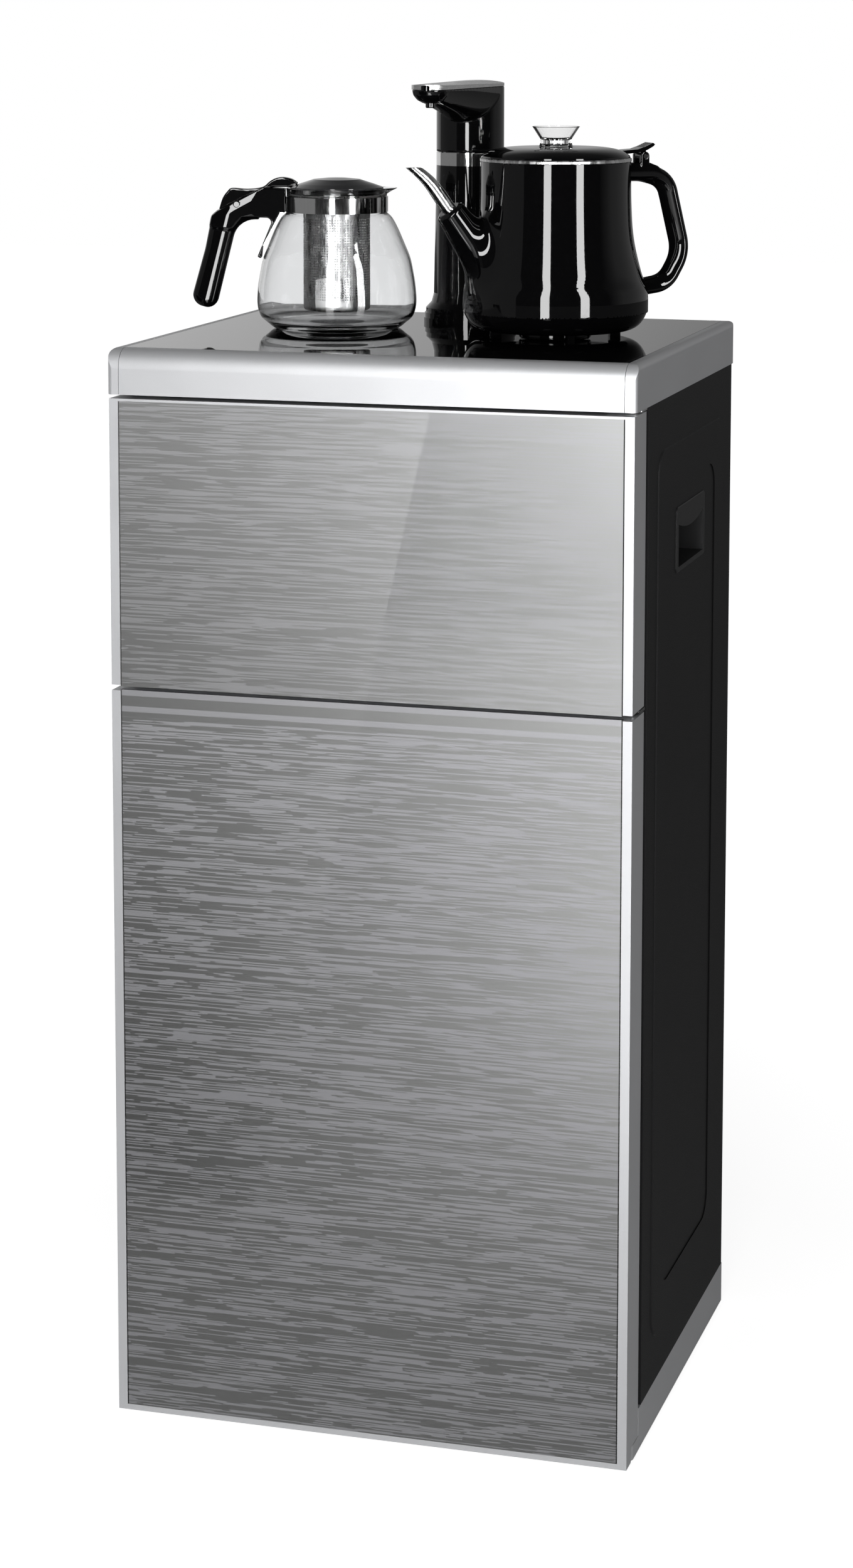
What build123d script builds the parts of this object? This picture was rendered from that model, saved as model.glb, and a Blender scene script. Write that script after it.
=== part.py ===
"""Tea bar water dispenser: a tall cabinet with two glass doors, and on its glass top
a swivelling faucet, a black electric kettle and a glass teapot.

Millimetres. The origin is on the floor below the middle of the cabinet, +Z is up and
the doors face -Y. The doors' hinges are on the +X side.
"""
from build123d import *
import math
import os

os.makedirs("parts", exist_ok=True)

# Cabinet
cabinet_width = 430.0
cabinet_depth = 376.0
cap_overhang = 1.5
foot_height = 3.0
foot_radius = 14.0
foot_peg_radius = 4.0
foot_inset = 45.0
base_height = 35.0
base_wall = 3.0
sheet = 1.5
flange_width = 12.0
touch_gap = 0.3
fit_gap = 0.05

# Doors and their gaps
lower_door_height = 605.4
upper_door_height = 233.2
door_depth = 40.0
door_lift = 0.8
door_gap = 2.8
cap_gap = 3.1
door_back_gap = 3.0
skirt_depth = 16.0
skirt_gap = 1.0
door_glass = 4.0
stile_width = 7.6
stile_bar = 12.0
door_wall = 3.0
bottom_rail = 4.6
top_rail = 2.0
stile_setback = 0.85
cover_thickness = 2.0
grip_length = 90.0
grip_depth = 6.0

# Toe of the base and the hinges
toe_height = 12.0
toe_corner = 8.0
pin_radius = 3.0
pin_length = 9.0
washer_radius = 5.5
boss_half = 7.0
hinge_plate = 2.5
hinge_leaf = 18.0
magnet_width = 30.0
magnet_height = 12.0
magnet_inset = 22.0

# Front frame and liners
frame_recess = 3.0
frame_depth = 7.0
lower_opening_side = 27.0
lower_opening_sill = 12.0
lower_opening_head = 19.2
upper_opening_side = 32.0
upper_opening_sill = 20.0
upper_opening_head = 15.2
liner_wall = 2.0
liner_margin = 1.0
lower_back_space = 34.0
upper_back_space = 68.0

# Embossing and carry pocket of a side panel
emboss_height = 1.0
emboss_inset_front = 33.0
emboss_inset_back = 37.0
emboss_low = 38.0
emboss_high = 41.0
emboss_band_y = 34.0
emboss_band_z = 34.0
emboss_radius = 22.0
pocket_width = 110.0
pocket_height = 54.0
pocket_bezel = 10.0
pocket_depth = 27.0
pocket_wall = 2.0
pocket_centre_y = 18.0
pocket_below_cap = 122.0
pocket_proud = 1.2
tongue_drop = 12.0
tongue_sag = 6.0

# Cap and glass top
cap_height = 36.8
cap_side = 9.5
cap_rear = 8.0
cap_front_radius = 16.0
cap_edge_radius = 5.0
cap_corner_radius = 4.0
cap_seam = 0.4
glass_thickness = 4.0
glass_gap = 0.3
ledge_width = 10.0
ledge_thickness = 7.0

# Back panel and what is on it
vent_count = 9
vent_length = 70.0
vent_height = 4.0
vent_pitch = 11.0
inlet_width = 84.0
inlet_height = 50.0
inlet_plate = 2.0
inlet_from_side = 53.0
inlet_z = 110.0
gland_radius = 9.0
gland_bore = 4.5
gland_length = 12.0
switch_length = 20.0
switch_width = 12.0
switch_depth = 14.0
switch_pivot_radius = 1.5
switch_tilt = 9.0
screw_head_radius = 3.6
screw_radius = 1.9

# Faucet
faucet_x = -0.8
faucet_from_back = 72.7
faucet_foot_radius = 39.9
faucet_foot_step = 4.2
faucet_foot_shrink = 1.05
faucet_root_radius = 31.1
faucet_top_radius = 29.0
faucet_column_height = 135.0
faucet_ring_height = 11.0
faucet_bore = 24.0
faucet_stem_radius = 13.5
faucet_stem_bore = 8.0
faucet_stem_length = 18.0
spigot_wall = 3.0
spigot_length = 14.0
head_height = 60.5
head_reach = 122.0
nose_radius = 15.6
nose_depth = 12.3
keel_depth = 34.0
plate_thickness = 4.2
plate_crown = 2.0
nozzle_radius = 4.1
nozzle_bore = 2.8
nozzle_drop = 2.9
nozzle_seat = 3.0

# Kettle
kettle_x = 96.0
kettle_y = 32.2
kettle_turn = 38.0
kettle_clearance = 3.8
kettle_seat_radius = 57.0
kettle_seam_height = 18.8
kettle_belly_radius = 77.2
kettle_belly_height = 30.0
kettle_rim_radius = 62.4
kettle_rim_height = 143.7
kettle_wall = 2.4
pot_wall = 1.0
pot_above_seam = 2.0
heating_plate_thickness = 1.0
rim_ring_height = 2.7
rim_ring_width = 4.6
kettle_lid_height = 9.3
kettle_lid_wall = 2.5
funnel_top_radius = 19.7
funnel_waist_radius = 13.3
funnel_height = 16.1
funnel_neck = 6.2
funnel_wall = 2.0
funnel_drain = 7.0
spout_collar_reach = 95.5
spout_collar_height = 105.6
spout_lean = 36.0
spout_socket_radius = 12.1
spout_root_radius = 21.0
spout_socket_length = 58.0
spout_radius = 6.9
spout_tip_radius = 6.3
spout_mouth_reach = 122.0
spout_mouth_height = 140.2
spout_mouth_length = 20.8
spout_wall = 0.9
kettle_pin_reach = 77.7
kettle_pin_above_rim = 2.8
kettle_pin_radius = 1.8
ear_radius = 3.9
ear_thickness = 4.0
knuckle_width = 9.0
lever_width = 16.0
kettle_handle_width = 19.0
kettle_handle_round = 5.0
coupler_radius = 29.9
coupler_height = 3.0
coupler_body_radius = 25.0
coupler_body_depth = 22.0
coupler_post_radius = 8.0
coupler_post_height = 9.0

# Glass teapot
teapot_x = -93.6
teapot_y = 29.3
teapot_turn = 16.0
teapot_foot_radius = 50.6
teapot_belly_radius = 67.3
teapot_belly_height = 24.0
teapot_neck_radius = 42.0
teapot_shoulder_height = 98.5
teapot_wall = 2.2
collar_height = 12.9
collar_wall = 1.25
teapot_rim_height = 7.0
teapot_rim_wall = 1.4
lip_reach = 51.9
teapot_lid_radius = 39.4
teapot_lid_rise = 9.6
teapot_lid_wall = 1.6
infuser_radius = 28.0
infuser_bottom = 14.4
infuser_wall = 0.7
infuser_slot_rows = 7
infuser_slots_round = 10
teapot_handle_width = 20.0
teapot_handle_round = 2.4
lever_slot_width = 10.0
lever_slot_gap = 0.4
lever_hub_radius = 9.0
lever_heel_radius = 15.9
teapot_pin_reach = 84.0
teapot_pin_height = 104.8
teapot_pin_radius = 2.2
strap_width = 9.0

# Inside the cabinet
warm_plate_radius = 50.0
warm_plate_thickness = 8.0
touch_board_width = 160.0
touch_board_depth = 30.0
touch_board_thickness = 1.6
supply_width = 90.0
supply_height = 120.0
supply_depth = 32.0
pump_x = 60.0
pump_back_gap = 4.0
pump_above_sill = 40.0
pump_radius = 16.0
pump_motor_length = 46.0
pump_head_size = 34.0
hose_radius = 5.0
hose_bore = 3.5
dip_tube_above_floor = 130.0
dip_tube_side_gap = 30.0
dip_tube_back_gap = 16.0
clip_below_top = 60.0
clip_above_floor = 160.0
dip_tube_radius = 4.5
dip_tube_bore = 3.3

# Derived places
half = cabinet_width / 2
front = -cabinet_depth / 2
back = cabinet_depth / 2
cap_half = half + cap_overhang
door_back = front + door_depth
face_y = door_back + door_back_gap
panel_front = face_y + frame_depth
panel_back = back - inlet_plate
inlet_x = half - inlet_from_side - inlet_width / 2
kettle_pin_height = kettle_rim_height + kettle_pin_above_rim
base_top = foot_height + base_height
lower_door_bottom = foot_height + door_lift
lower_door_top = lower_door_bottom + lower_door_height
upper_door_bottom = lower_door_top + door_gap
upper_door_top = upper_door_bottom + upper_door_height
cap_bottom = upper_door_top + cap_gap
cap_top = cap_bottom + cap_height
toe_front = front + skirt_depth + skirt_gap
toe_top = foot_height + toe_height
door_step = toe_top + skirt_gap
hinge_x = half - toe_corner
hinge_y = toe_front + toe_corner
middle_z = (lower_door_top + upper_door_bottom) / 2
frame_half = half - frame_recess
lower_opening_half = frame_half - lower_opening_side
upper_opening_half = frame_half - upper_opening_side
lower_sill = base_top + lower_opening_sill
lower_head = lower_door_top - lower_opening_head
upper_sill = upper_door_bottom + upper_opening_sill
upper_head = upper_door_top - upper_opening_head
upper_middle = (upper_sill + upper_head) / 2
lower_liner_back = panel_back - lower_back_space
upper_liner_back = panel_back - upper_back_space
lower_liner_top = lower_head + liner_margin + liner_wall
upper_liner_bottom = upper_sill - liner_margin - liner_wall
upper_liner_top = upper_head + liner_margin + liner_wall
glass_bottom = cap_top - glass_thickness
glass_half = cap_half - cap_side - glass_gap
glass_front = front + cap_front_radius + glass_gap
glass_back = back - cap_rear - glass_gap
magnet_x = -half + magnet_inset + magnet_width / 2
pocket_z = cap_bottom - pocket_below_cap
column_top = cap_top + faucet_column_height
ring_top = column_top + faucet_ring_height
head_bottom = ring_top + touch_gap
head_top = head_bottom + head_height
faucet_y = back - faucet_from_back
collar_radius = teapot_neck_radius + fit_gap + collar_wall
kettle_place = Pos(kettle_x, kettle_y, cap_top) * Rot(0, 0, kettle_turn)
teapot_place = Pos(teapot_x, teapot_y, cap_top) * Rot(0, 0, teapot_turn)


def block(x0, x1, y0, y1, z0, z1):
    """A box between two corners."""
    middle = Pos((x0 + x1) / 2, (y0 + y1) / 2, (z0 + z1) / 2)
    return middle * Box(x1 - x0, y1 - y0, z1 - z0)


def rod(x, y, z0, z1, radius):
    """An upright cylinder."""
    return Pos(x, y, (z0 + z1) / 2) * Cylinder(radius, z1 - z0)


def rod_along_y(x, z, y0, y1, radius):
    """A cylinder along Y."""
    return Pos(x, (y0 + y1) / 2, z) * Rot(90, 0, 0) * Cylinder(radius, y1 - y0)


def rod_along_x(y, z, x0, x1, radius):
    """A cylinder along X."""
    return Pos((x0 + x1) / 2, y, z) * Rot(0, 90, 0) * Cylinder(radius, x1 - x0)


def turned(points):
    """A solid of revolution about Z from a closed outline of (radius, height) points."""
    outline = [(r, 0, z) for r, z in points]
    return revolve(make_face(Polyline(*outline, close=True)), Axis.Z)


def turned_shell(curve, wall):
    """An open vessel about Z whose outer wall runs smoothly through (radius, height) points.

    The first point is where the flat bottom ends, and the last one is on the rim."""
    inner = inset(curve, wall)
    inner[0] = (inner[0][0], curve[0][1] + wall)
    inner[-1] = (inner[-1][0], curve[-1][1])
    outside = Spline(*[(r, 0, z) for r, z in curve])
    inside = Spline(*[(r, 0, z) for r, z in inner])
    bottom = Polyline((curve[0][0], 0, curve[0][1]), (0, 0, curve[0][1]),
                      (0, 0, inner[0][1]), (inner[0][0], 0, inner[0][1]))
    rim = Line((curve[-1][0], 0, curve[-1][1]), (inner[-1][0], 0, inner[-1][1]))
    return revolve(make_face([outside, inside, bottom, rim]), Axis.Z)


def inset(curve, wall):
    """The points of a (radius, height) curve moved inwards by a wall, square to it."""
    moved = []
    for index, (r, z) in enumerate(curve):
        before = curve[max(index - 1, 0)]
        after = curve[min(index + 1, len(curve) - 1)]
        dr = after[0] - before[0]
        dz = after[1] - before[1]
        length = math.hypot(dr, dz)
        moved.append((r - wall * dz / length, z + wall * dr / length))
    return moved


def side_plate(outline, width):
    """A plate of an (x, z) outline, given as edges, centred on Y."""
    return extrude(make_face(outline), width / 2, dir=(0, 1, 0), both=True)


def upright(points):
    """Points (x, z) in the XZ plane."""
    return [(x, 0, z) for x, z in points]


def piped(points, radii, radius, bore):
    """A hose along straight runs joined by tangent arcs."""
    path = FilletPolyline(*points, radius=radii)
    start = Plane(origin=path @ 0, z_dir=path % 0)
    ring = start * (Circle(radius) - Circle(bore))
    return sweep(ring, path)


def mirrored(shape):
    """The same shape on the other side of the cabinet."""
    return mirror(shape, about=Plane.YZ)


def save(name, shape):
    """Write one piece, under its node's name."""
    export_step(shape, f"parts/{name}.step")


# Base plinth: a folded tray whose toe reaches forward under the doors
def base_plinth():
    tray = block(-half, half, face_y, back, foot_height, base_top)
    toe = block(-half, hinge_x, toe_front, face_y, foot_height, toe_top)
    toe += block(hinge_x, half, hinge_y, face_y, foot_height, toe_top)
    toe += rod(hinge_x, hinge_y, foot_height, toe_top, toe_corner)
    floor = foot_height + base_wall
    hollow = block(-half + base_wall, half - base_wall, face_y + base_wall,
                   back - base_wall, floor, base_top)
    toe_hollow = block(-half + base_wall, hinge_x - toe_corner, toe_front + base_wall,
                       face_y + base_wall, floor, toe_top - base_wall)
    shape = tray + toe - hollow - toe_hollow
    for x in (-half / 3, half / 3):
        shape += block(x - base_wall / 2, x + base_wall / 2, face_y + base_wall / 2,
                       back - base_wall / 2, floor - fit_gap, base_top)
    for x, y in foot_places():
        shape -= rod(x, y, foot_height - 1, floor + 1, foot_peg_radius + fit_gap)
    shape -= rod(hinge_x, hinge_y, floor, toe_top + 1, pin_radius + fit_gap)
    return shape


def foot_places():
    """The four corners where the rubber feet are."""
    return [(sx * (half - foot_inset), y)
            for sx in (-1, 1) for y in (face_y + foot_inset, back - foot_inset)]


def rubber_feet():
    feet = []
    for x, y in foot_places():
        foot = rod(x, y, 0, foot_height, foot_radius)
        foot += rod(x, y, foot_height, foot_height + base_wall + 2, foot_peg_radius)
        feet.append(foot)
    return Compound(feet)


# Side panels: sheet with an embossed frame, a pocket hole and two folded flanges
def side_panel_right():
    low = base_top
    shape = block(half - sheet, half, panel_front, panel_back, low, cap_bottom)
    shape += block(half - flange_width, half - sheet, panel_front, panel_front + sheet,
                   low, cap_bottom)
    shape += block(half - flange_width, half - sheet, panel_back - 2 * sheet,
                   panel_back - sheet, low, cap_bottom)
    y0 = panel_front + emboss_inset_front
    y1 = panel_back - emboss_inset_back
    z0 = base_top + emboss_low
    z1 = cap_bottom - emboss_high
    ring = pressed_plate(y0, y1, z0, z1, half, emboss_height)
    ring -= pressed_plate(y0 + emboss_band_y, y1 - emboss_band_y, z0 + emboss_band_z,
                          z1 - emboss_band_z, half, emboss_height)
    hollow = pressed_plate(y0 + sheet, y1 - sheet, z0 + sheet, z1 - sheet,
                           half - sheet, emboss_height)
    hollow -= pressed_plate(y0 + emboss_band_y - sheet, y1 - emboss_band_y + sheet,
                            z0 + emboss_band_z - sheet, z1 - emboss_band_z + sheet,
                            half - sheet, emboss_height)
    shape = shape + ring - hollow - pocket_hole()
    for z in panel_screw_heights():
        shape -= rod_along_y(half - flange_width / 2, z, panel_back - 3 * sheet,
                             panel_back, screw_radius + fit_gap)
    return shape


def pressed_plate(y0, y1, z0, z1, x, height):
    """A plate on the side, with round corners, whose edge slopes at 45 degrees."""
    plan = Plane((x, (y0 + y1) / 2, (z0 + z1) / 2), x_dir=(0, 1, 0), z_dir=(1, 0, 0))
    return extrude(plan * RectangleRounded(y1 - y0, z1 - z0, emboss_radius), height, taper=45)


def pocket_hole():
    """The hole in the sheet for the carry pocket."""
    y = pocket_width / 2 - pocket_bezel / 2
    z = pocket_height / 2 - pocket_bezel / 4
    return block(half - flange_width, half + 2 * emboss_height, pocket_centre_y - y,
                 pocket_centre_y + y, pocket_z - z, pocket_z + z)


# Carry pocket: a cup with a bezel outside, and a tongue that the fingers go behind
def carry_pocket_right():
    plan = Plane((half, pocket_centre_y, pocket_z), x_dir=(0, 1, 0), z_dir=(1, 0, 0))
    bezel = extrude(plan * RectangleRounded(pocket_width, pocket_height, pocket_bezel / 2),
                    pocket_proud)
    bezel = chamfer(bezel.faces().sort_by(Axis.X)[-1].edges(), pocket_proud / 2)
    y = pocket_width / 2 - pocket_bezel / 2 - fit_gap
    z = pocket_height / 2 - pocket_bezel / 4 - fit_gap
    cup = block(half - pocket_depth, half, pocket_centre_y - y, pocket_centre_y + y,
                pocket_z - z, pocket_z + z)
    well = block(half - pocket_depth + pocket_wall, half - pocket_wall,
                 pocket_centre_y - y + pocket_wall, pocket_centre_y + y - pocket_wall,
                 pocket_z - z + pocket_wall, pocket_z + z - pocket_wall)
    mouth_half = y - pocket_wall
    mouth_low = pocket_z - z + pocket_wall
    mouth_high = pocket_z + z - tongue_drop
    tongue = ThreePointArc((0, pocket_centre_y + mouth_half, mouth_high),
                           (0, pocket_centre_y, mouth_high - tongue_sag),
                           (0, pocket_centre_y - mouth_half, mouth_high))
    sides = Polyline((0, pocket_centre_y - mouth_half, mouth_high),
                     (0, pocket_centre_y - mouth_half, mouth_low),
                     (0, pocket_centre_y + mouth_half, mouth_low),
                     (0, pocket_centre_y + mouth_half, mouth_high))
    mouth = extrude(make_face([tongue, sides]), 3 * pocket_wall, dir=(1, 0, 0))
    return bezel + cup - well - Pos(half - 2 * pocket_wall, 0, 0) * mouth


# Back panel: sheet with vent slots, and openings for the inlet plate
def back_panel():
    shape = block(-half + sheet, half - sheet, panel_back - sheet, panel_back,
                  base_top, cap_bottom)
    for column in (-1, 1):
        for index in range(vent_count):
            z = upper_middle + (index - (vent_count - 1) / 2) * vent_pitch
            x = column * half / 2
            shape -= block(x - vent_length / 2, x + vent_length / 2, panel_back - 2 * sheet,
                           back, z - vent_height / 2, z + vent_height / 2)
    shape -= block(inlet_x - inlet_width / 2 + 4, inlet_x + inlet_width / 2 - 4,
                   panel_back - 2 * sheet, back, inlet_z - inlet_height / 2 + 4,
                   inlet_z + inlet_height / 2 - 4)
    for x, z in panel_screw_places():
        shape -= rod_along_y(x, z, panel_back - 2 * sheet, back, screw_radius + fit_gap)
    return shape


def panel_screw_heights():
    """The heights of the back panel's screws."""
    return [base_top + 30, (base_top + cap_bottom) / 2, cap_bottom - 30]


def panel_screw_places():
    """All the back panel's screws."""
    return [(sx * (half - flange_width / 2), z) for sx in (-1, 1) for z in panel_screw_heights()]


def panel_screws():
    screws = []
    for x, z in panel_screw_places():
        head = rod_along_y(x, z, panel_back, back - 0.4, screw_head_radius)
        head = fillet(head.edges().sort_by(Axis.Y)[-1:], 0.9)
        slot = block(x - 0.5, x + 0.5, back - 1.1, back, z - 2, z + 2)
        slot += block(x - 2, x + 2, back - 1.1, back, z - 0.5, z + 0.5)
        shank = rod_along_y(x, z, panel_back - 8, panel_back, screw_radius)
        screws.append(head + shank - slot)
    return Compound(screws)


# Front frame: the black face that the doors close against
def front_frame():
    shape = block(-frame_half, frame_half, face_y, panel_front, base_top, cap_bottom)
    shape -= block(-lower_opening_half, lower_opening_half, face_y - 1, panel_front + 1,
                   lower_sill, lower_head)
    shape -= block(-upper_opening_half, upper_opening_half, face_y - 1, panel_front + 1,
                   upper_sill, upper_head)
    for z in magnet_heights():
        shape -= strike(z)
    return shape - hinge_leaf_block(middle_z, 1) - hinge_leaf_block(cap_bottom, 0)


def magnet_heights():
    """The heights of the two door magnets."""
    return [(lower_door_bottom + lower_door_top) / 2, (upper_door_bottom + upper_door_top) / 2]


def strike(z):
    """The steel plate that a magnet pulls on."""
    return block(magnet_x - magnet_width / 2, magnet_x + magnet_width / 2, face_y,
                 face_y + 1, z - magnet_height / 2, z + magnet_height / 2)


def strike_plates():
    return Compound([strike(z) for z in magnet_heights()])


def hinge_leaf_block(z, above):
    """The leaf of a hinge, let into the front frame."""
    return block(hinge_x - hinge_leaf, frame_half, face_y, face_y + hinge_plate,
                 z - hinge_leaf, z + above * hinge_leaf)


# Hinges on the +X side
def hinge_arm(z0, z1):
    """The plate of a hinge, from the front frame to round the pin's axis."""
    arm = block(hinge_x - hinge_leaf, half - fit_gap, hinge_y, face_y, z0, z1)
    arm += block(hinge_x - hinge_leaf, hinge_x, hinge_y - boss_half, hinge_y, z0, z1)
    return arm + rod(hinge_x, hinge_y, z0, z1, boss_half)


def lower_hinge_pin():
    top = toe_top + skirt_gap - touch_gap
    pin = rod(hinge_x, hinge_y, foot_height + base_wall, door_step + pin_length, pin_radius)
    return pin + rod(hinge_x, hinge_y, toe_top, top, washer_radius)


def middle_hinge():
    low = middle_z - hinge_plate / 2
    high = middle_z + hinge_plate / 2
    shape = hinge_arm(low, high) + hinge_leaf_block(middle_z, 1)
    return shape + rod(hinge_x, hinge_y, low - pin_length, high + pin_length, pin_radius)


def upper_hinge():
    low = cap_bottom - hinge_plate + 0.3
    shape = hinge_arm(low, cap_bottom) + hinge_leaf_block(cap_bottom, 0)
    return shape + rod(hinge_x, hinge_y, low - pin_length, low, pin_radius)


# Doors: a silver frame round a glass panel, closed by an inner cover
def door_frame(z0, z1, glass0, glass1, step):
    """A door frame between two heights. Its inside starts at the height step."""
    shape = block(-half, half, front, door_back, z0, z1)
    if step > z0:
        shape -= block(-half - 1, half + 1, front + skirt_depth, door_back + 1, z0 - 1, step)
    low = max(step, z0)
    inner = half - stile_bar
    shape -= block(-inner, inner, front - 1, door_back + 1, low + door_wall, z1 - door_wall)
    shape -= block(-half + door_wall, half - door_wall, front + 2 * door_glass,
                   door_back - door_wall, low + door_wall, z1 - door_wall)
    for z in (low, z1 - 2 * boss_half):
        shape += block(hinge_x - boss_half, half, hinge_y - boss_half, hinge_y + boss_half,
                       z, z + 2 * boss_half)
    grip_z = (glass0 + glass1) / 2
    shape += block(-half, -half + grip_depth + door_wall, hinge_y - boss_half - door_wall,
                   hinge_y + boss_half + door_wall, grip_z - grip_length / 2 - door_wall,
                   grip_z + grip_length / 2 + door_wall)
    shape -= block(-half - 1, -half + grip_depth, hinge_y - boss_half, hinge_y + boss_half,
                   grip_z - grip_length / 2, grip_z + grip_length / 2)
    shape -= block(-half + stile_width, half - stile_width, front - 1, front + door_glass,
                   glass0, glass1)
    shape -= block(-cover_half() - fit_gap, cover_half() + fit_gap, door_back - cover_thickness,
                   door_back + 1, low + door_wall / 2, z1 - door_wall / 2)
    for z in (low, z1):
        shape -= rod(hinge_x, hinge_y, z - pin_length - 1, z + pin_length + 1,
                     pin_radius + fit_gap)
    return shape


def cover_half():
    """Half the width of a door's inner cover."""
    return half - stile_width


def door_panel(z0, z1):
    """The glass of a door."""
    side = half - stile_width - glass_gap
    return block(-side, side, front, front + door_glass, z0, z1)


def door_cover(z0, z1):
    """The inner cover of a door."""
    return block(-cover_half(), cover_half(), door_back - cover_thickness, door_back,
                 z0 + door_wall / 2 + fit_gap, z1 - door_wall / 2 - fit_gap)


def door_magnet(z):
    """The magnet on the inner cover."""
    return block(magnet_x - magnet_width / 2, magnet_x + magnet_width / 2, door_back,
                 face_y - touch_gap, z - magnet_height / 2, z + magnet_height / 2)


def make_doors():
    lower_z1 = lower_door_top - stile_setback
    upper_z0 = upper_door_bottom + stile_setback
    lower_glass0 = lower_door_bottom + bottom_rail
    upper_glass1 = upper_door_top - top_rail
    save("lower_door_frame", door_frame(lower_door_bottom, lower_z1, lower_glass0,
                                        lower_door_top + 1, door_step))
    save("lower_door_glass", door_panel(lower_glass0 + fit_gap, lower_door_top))
    save("lower_door_cover", door_cover(door_step, lower_z1))
    save("lower_door_magnet", door_magnet(magnet_heights()[0]))
    save("upper_door_frame", door_frame(upper_z0, upper_door_top, upper_door_bottom - 1,
                                        upper_glass1, upper_z0))
    save("upper_door_glass", door_panel(upper_door_bottom, upper_glass1 - fit_gap))
    save("upper_door_cover", door_cover(upper_z0, upper_door_top))
    save("upper_door_magnet", door_magnet(magnet_heights()[1]))


# Liners: boxes open to the front, flanged against the front frame
def liner(side, z0, z1, depth_end):
    shape = block(-side, side, panel_front, depth_end, z0, z1)
    return shape - block(-side + liner_wall, side - liner_wall, panel_front - 1,
                         depth_end - liner_wall, z0 + liner_wall, z1 - liner_wall)


def lower_liner():
    side = lower_opening_half + liner_margin + liner_wall
    shape = liner(side, base_top, lower_liner_top, lower_liner_back)
    x, y = tube_place()
    for z in (lower_liner_top - clip_below_top, base_top + clip_above_floor):
        clip = block(x - 8, x + 8, y - 2, lower_liner_back - liner_wall / 2, z - 5, z + 5)
        clip -= rod(x, y, z - 6, z + 6, dip_tube_radius + fit_gap)
        clip -= block(x - 3, x + 3, y - 8, y, z - 6, z + 6)
        shape += clip
    return shape - rod(x, y, lower_liner_top - 2 * liner_wall, lower_liner_top + 1,
                       dip_tube_radius + fit_gap)


def upper_liner():
    side = upper_opening_half + liner_margin + liner_wall
    return liner(side, upper_liner_bottom, upper_liner_top, upper_liner_back)


# Cap: two side pieces and a rear piece in one, and a front strip between the sides
def cap_envelope():
    """The whole cap as one rounded block."""
    across = block(-cap_half, cap_half, front, back, cap_bottom, cap_top)
    across = fillet(across.edges().filter_by(Axis.Z), cap_corner_radius)
    ends = block(-cap_half, cap_half, front - 1, back + 1, cap_bottom, cap_top)
    ends = fillet(ends.edges().filter_by(Axis.Y).group_by(Axis.Z)[-1], cap_edge_radius)
    nose = block(-cap_half - 1, cap_half + 1, front, back, cap_bottom, cap_top)
    top = nose.edges().filter_by(Axis.X).group_by(Axis.Z)[-1].sort_by(Axis.Y)
    nose = fillet(top[0], cap_front_radius - 0.1)
    top = nose.edges().filter_by(Axis.X).group_by(Axis.Z)[-1].sort_by(Axis.Y)
    nose = fillet(top[-1], cap_edge_radius)
    return across & ends & nose


def glass_room(gap):
    """The room of the glass top, larger by a gap."""
    return block(-glass_half - gap, glass_half + gap, glass_front - gap, glass_back + gap,
                 glass_bottom, cap_top + 1)


def cap_pieces():
    """The cap's frame and its front strip."""
    strip_half = cap_half - cap_side
    strip_back = front + cap_front_radius
    shell = cap_envelope() - glass_room(glass_gap)
    below = block(-strip_half, strip_half, strip_back, back - cap_rear, cap_bottom - 1,
                  glass_bottom)
    below -= block(-strip_half, strip_half, strip_back, back - cap_rear,
                   glass_bottom - ledge_thickness, glass_bottom)
    inside = strip_half - ledge_width
    below += block(-inside, inside, strip_back + ledge_width, back - cap_rear - ledge_width,
                   cap_bottom - 1, glass_bottom)
    shell -= below
    strip_room = block(-strip_half, strip_half, front - 1, strip_back + ledge_width,
                       cap_bottom - 1, cap_top + 1)
    seam = block(-strip_half + cap_seam, strip_half - cap_seam, front - 1,
                 strip_back + ledge_width - cap_seam, cap_bottom - 1, cap_top + 1)
    frame = shell - strip_room
    strip = shell & seam
    hollow = block(-strip_half + 3, strip_half - 3, front + 3, strip_back + ledge_width + 1,
                   cap_bottom - 1, glass_bottom - ledge_thickness - cap_edge_radius)
    return frame, strip - hollow


def glass_top():
    shape = block(-glass_half, glass_half, glass_front, glass_back, glass_bottom, cap_top)
    shape -= rod(faucet_x, faucet_y, glass_bottom - 1, cap_top + 1,
                 faucet_stem_radius + touch_gap)
    return shape - rod(kettle_x, kettle_y, glass_bottom - 1, cap_top + 1,
                       coupler_body_radius + touch_gap)


# Faucet: stepped foot and column, a ring, and a head that swivels on the ring's spigot
def faucet_column():
    step = faucet_foot_step
    shrink = faucet_foot_shrink
    r1 = faucet_foot_radius
    r2 = r1 - shrink
    r3 = r2 - shrink
    outline = [(r1, 0), (r1, step), (r2, step), (r2, 2 * step), (r3, 2 * step), (r3, 3 * step)]
    flare = [(r3, 3 * step), (faucet_root_radius + 2, 4.2 * step),
             (faucet_root_radius, 6 * step), (faucet_top_radius, faucet_column_height)]
    floor = base_wall
    inner = [(faucet_bore, faucet_column_height), (faucet_bore, floor),
             (faucet_stem_bore, floor), (faucet_stem_bore, -faucet_stem_length),
             (faucet_stem_radius, -faucet_stem_length), (faucet_stem_radius, 0), (r1, 0)]
    edges = [Polyline(*upright(outline)), Polyline(*upright(flare)),
             Polyline(*upright([flare[-1]] + inner))]
    shape = revolve(make_face(edges), Axis.Z)
    return Pos(faucet_x, faucet_y, cap_top) * shape


def faucet_ring():
    spigot = faucet_bore
    shape = turned([(faucet_top_radius, 0), (faucet_top_radius, faucet_ring_height),
                    (spigot, faucet_ring_height), (spigot, faucet_ring_height + spigot_length),
                    (spigot - spigot_wall, faucet_ring_height + spigot_length),
                    (spigot - spigot_wall, 0)])
    return Pos(faucet_x, faucet_y, column_top) * shape


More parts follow.
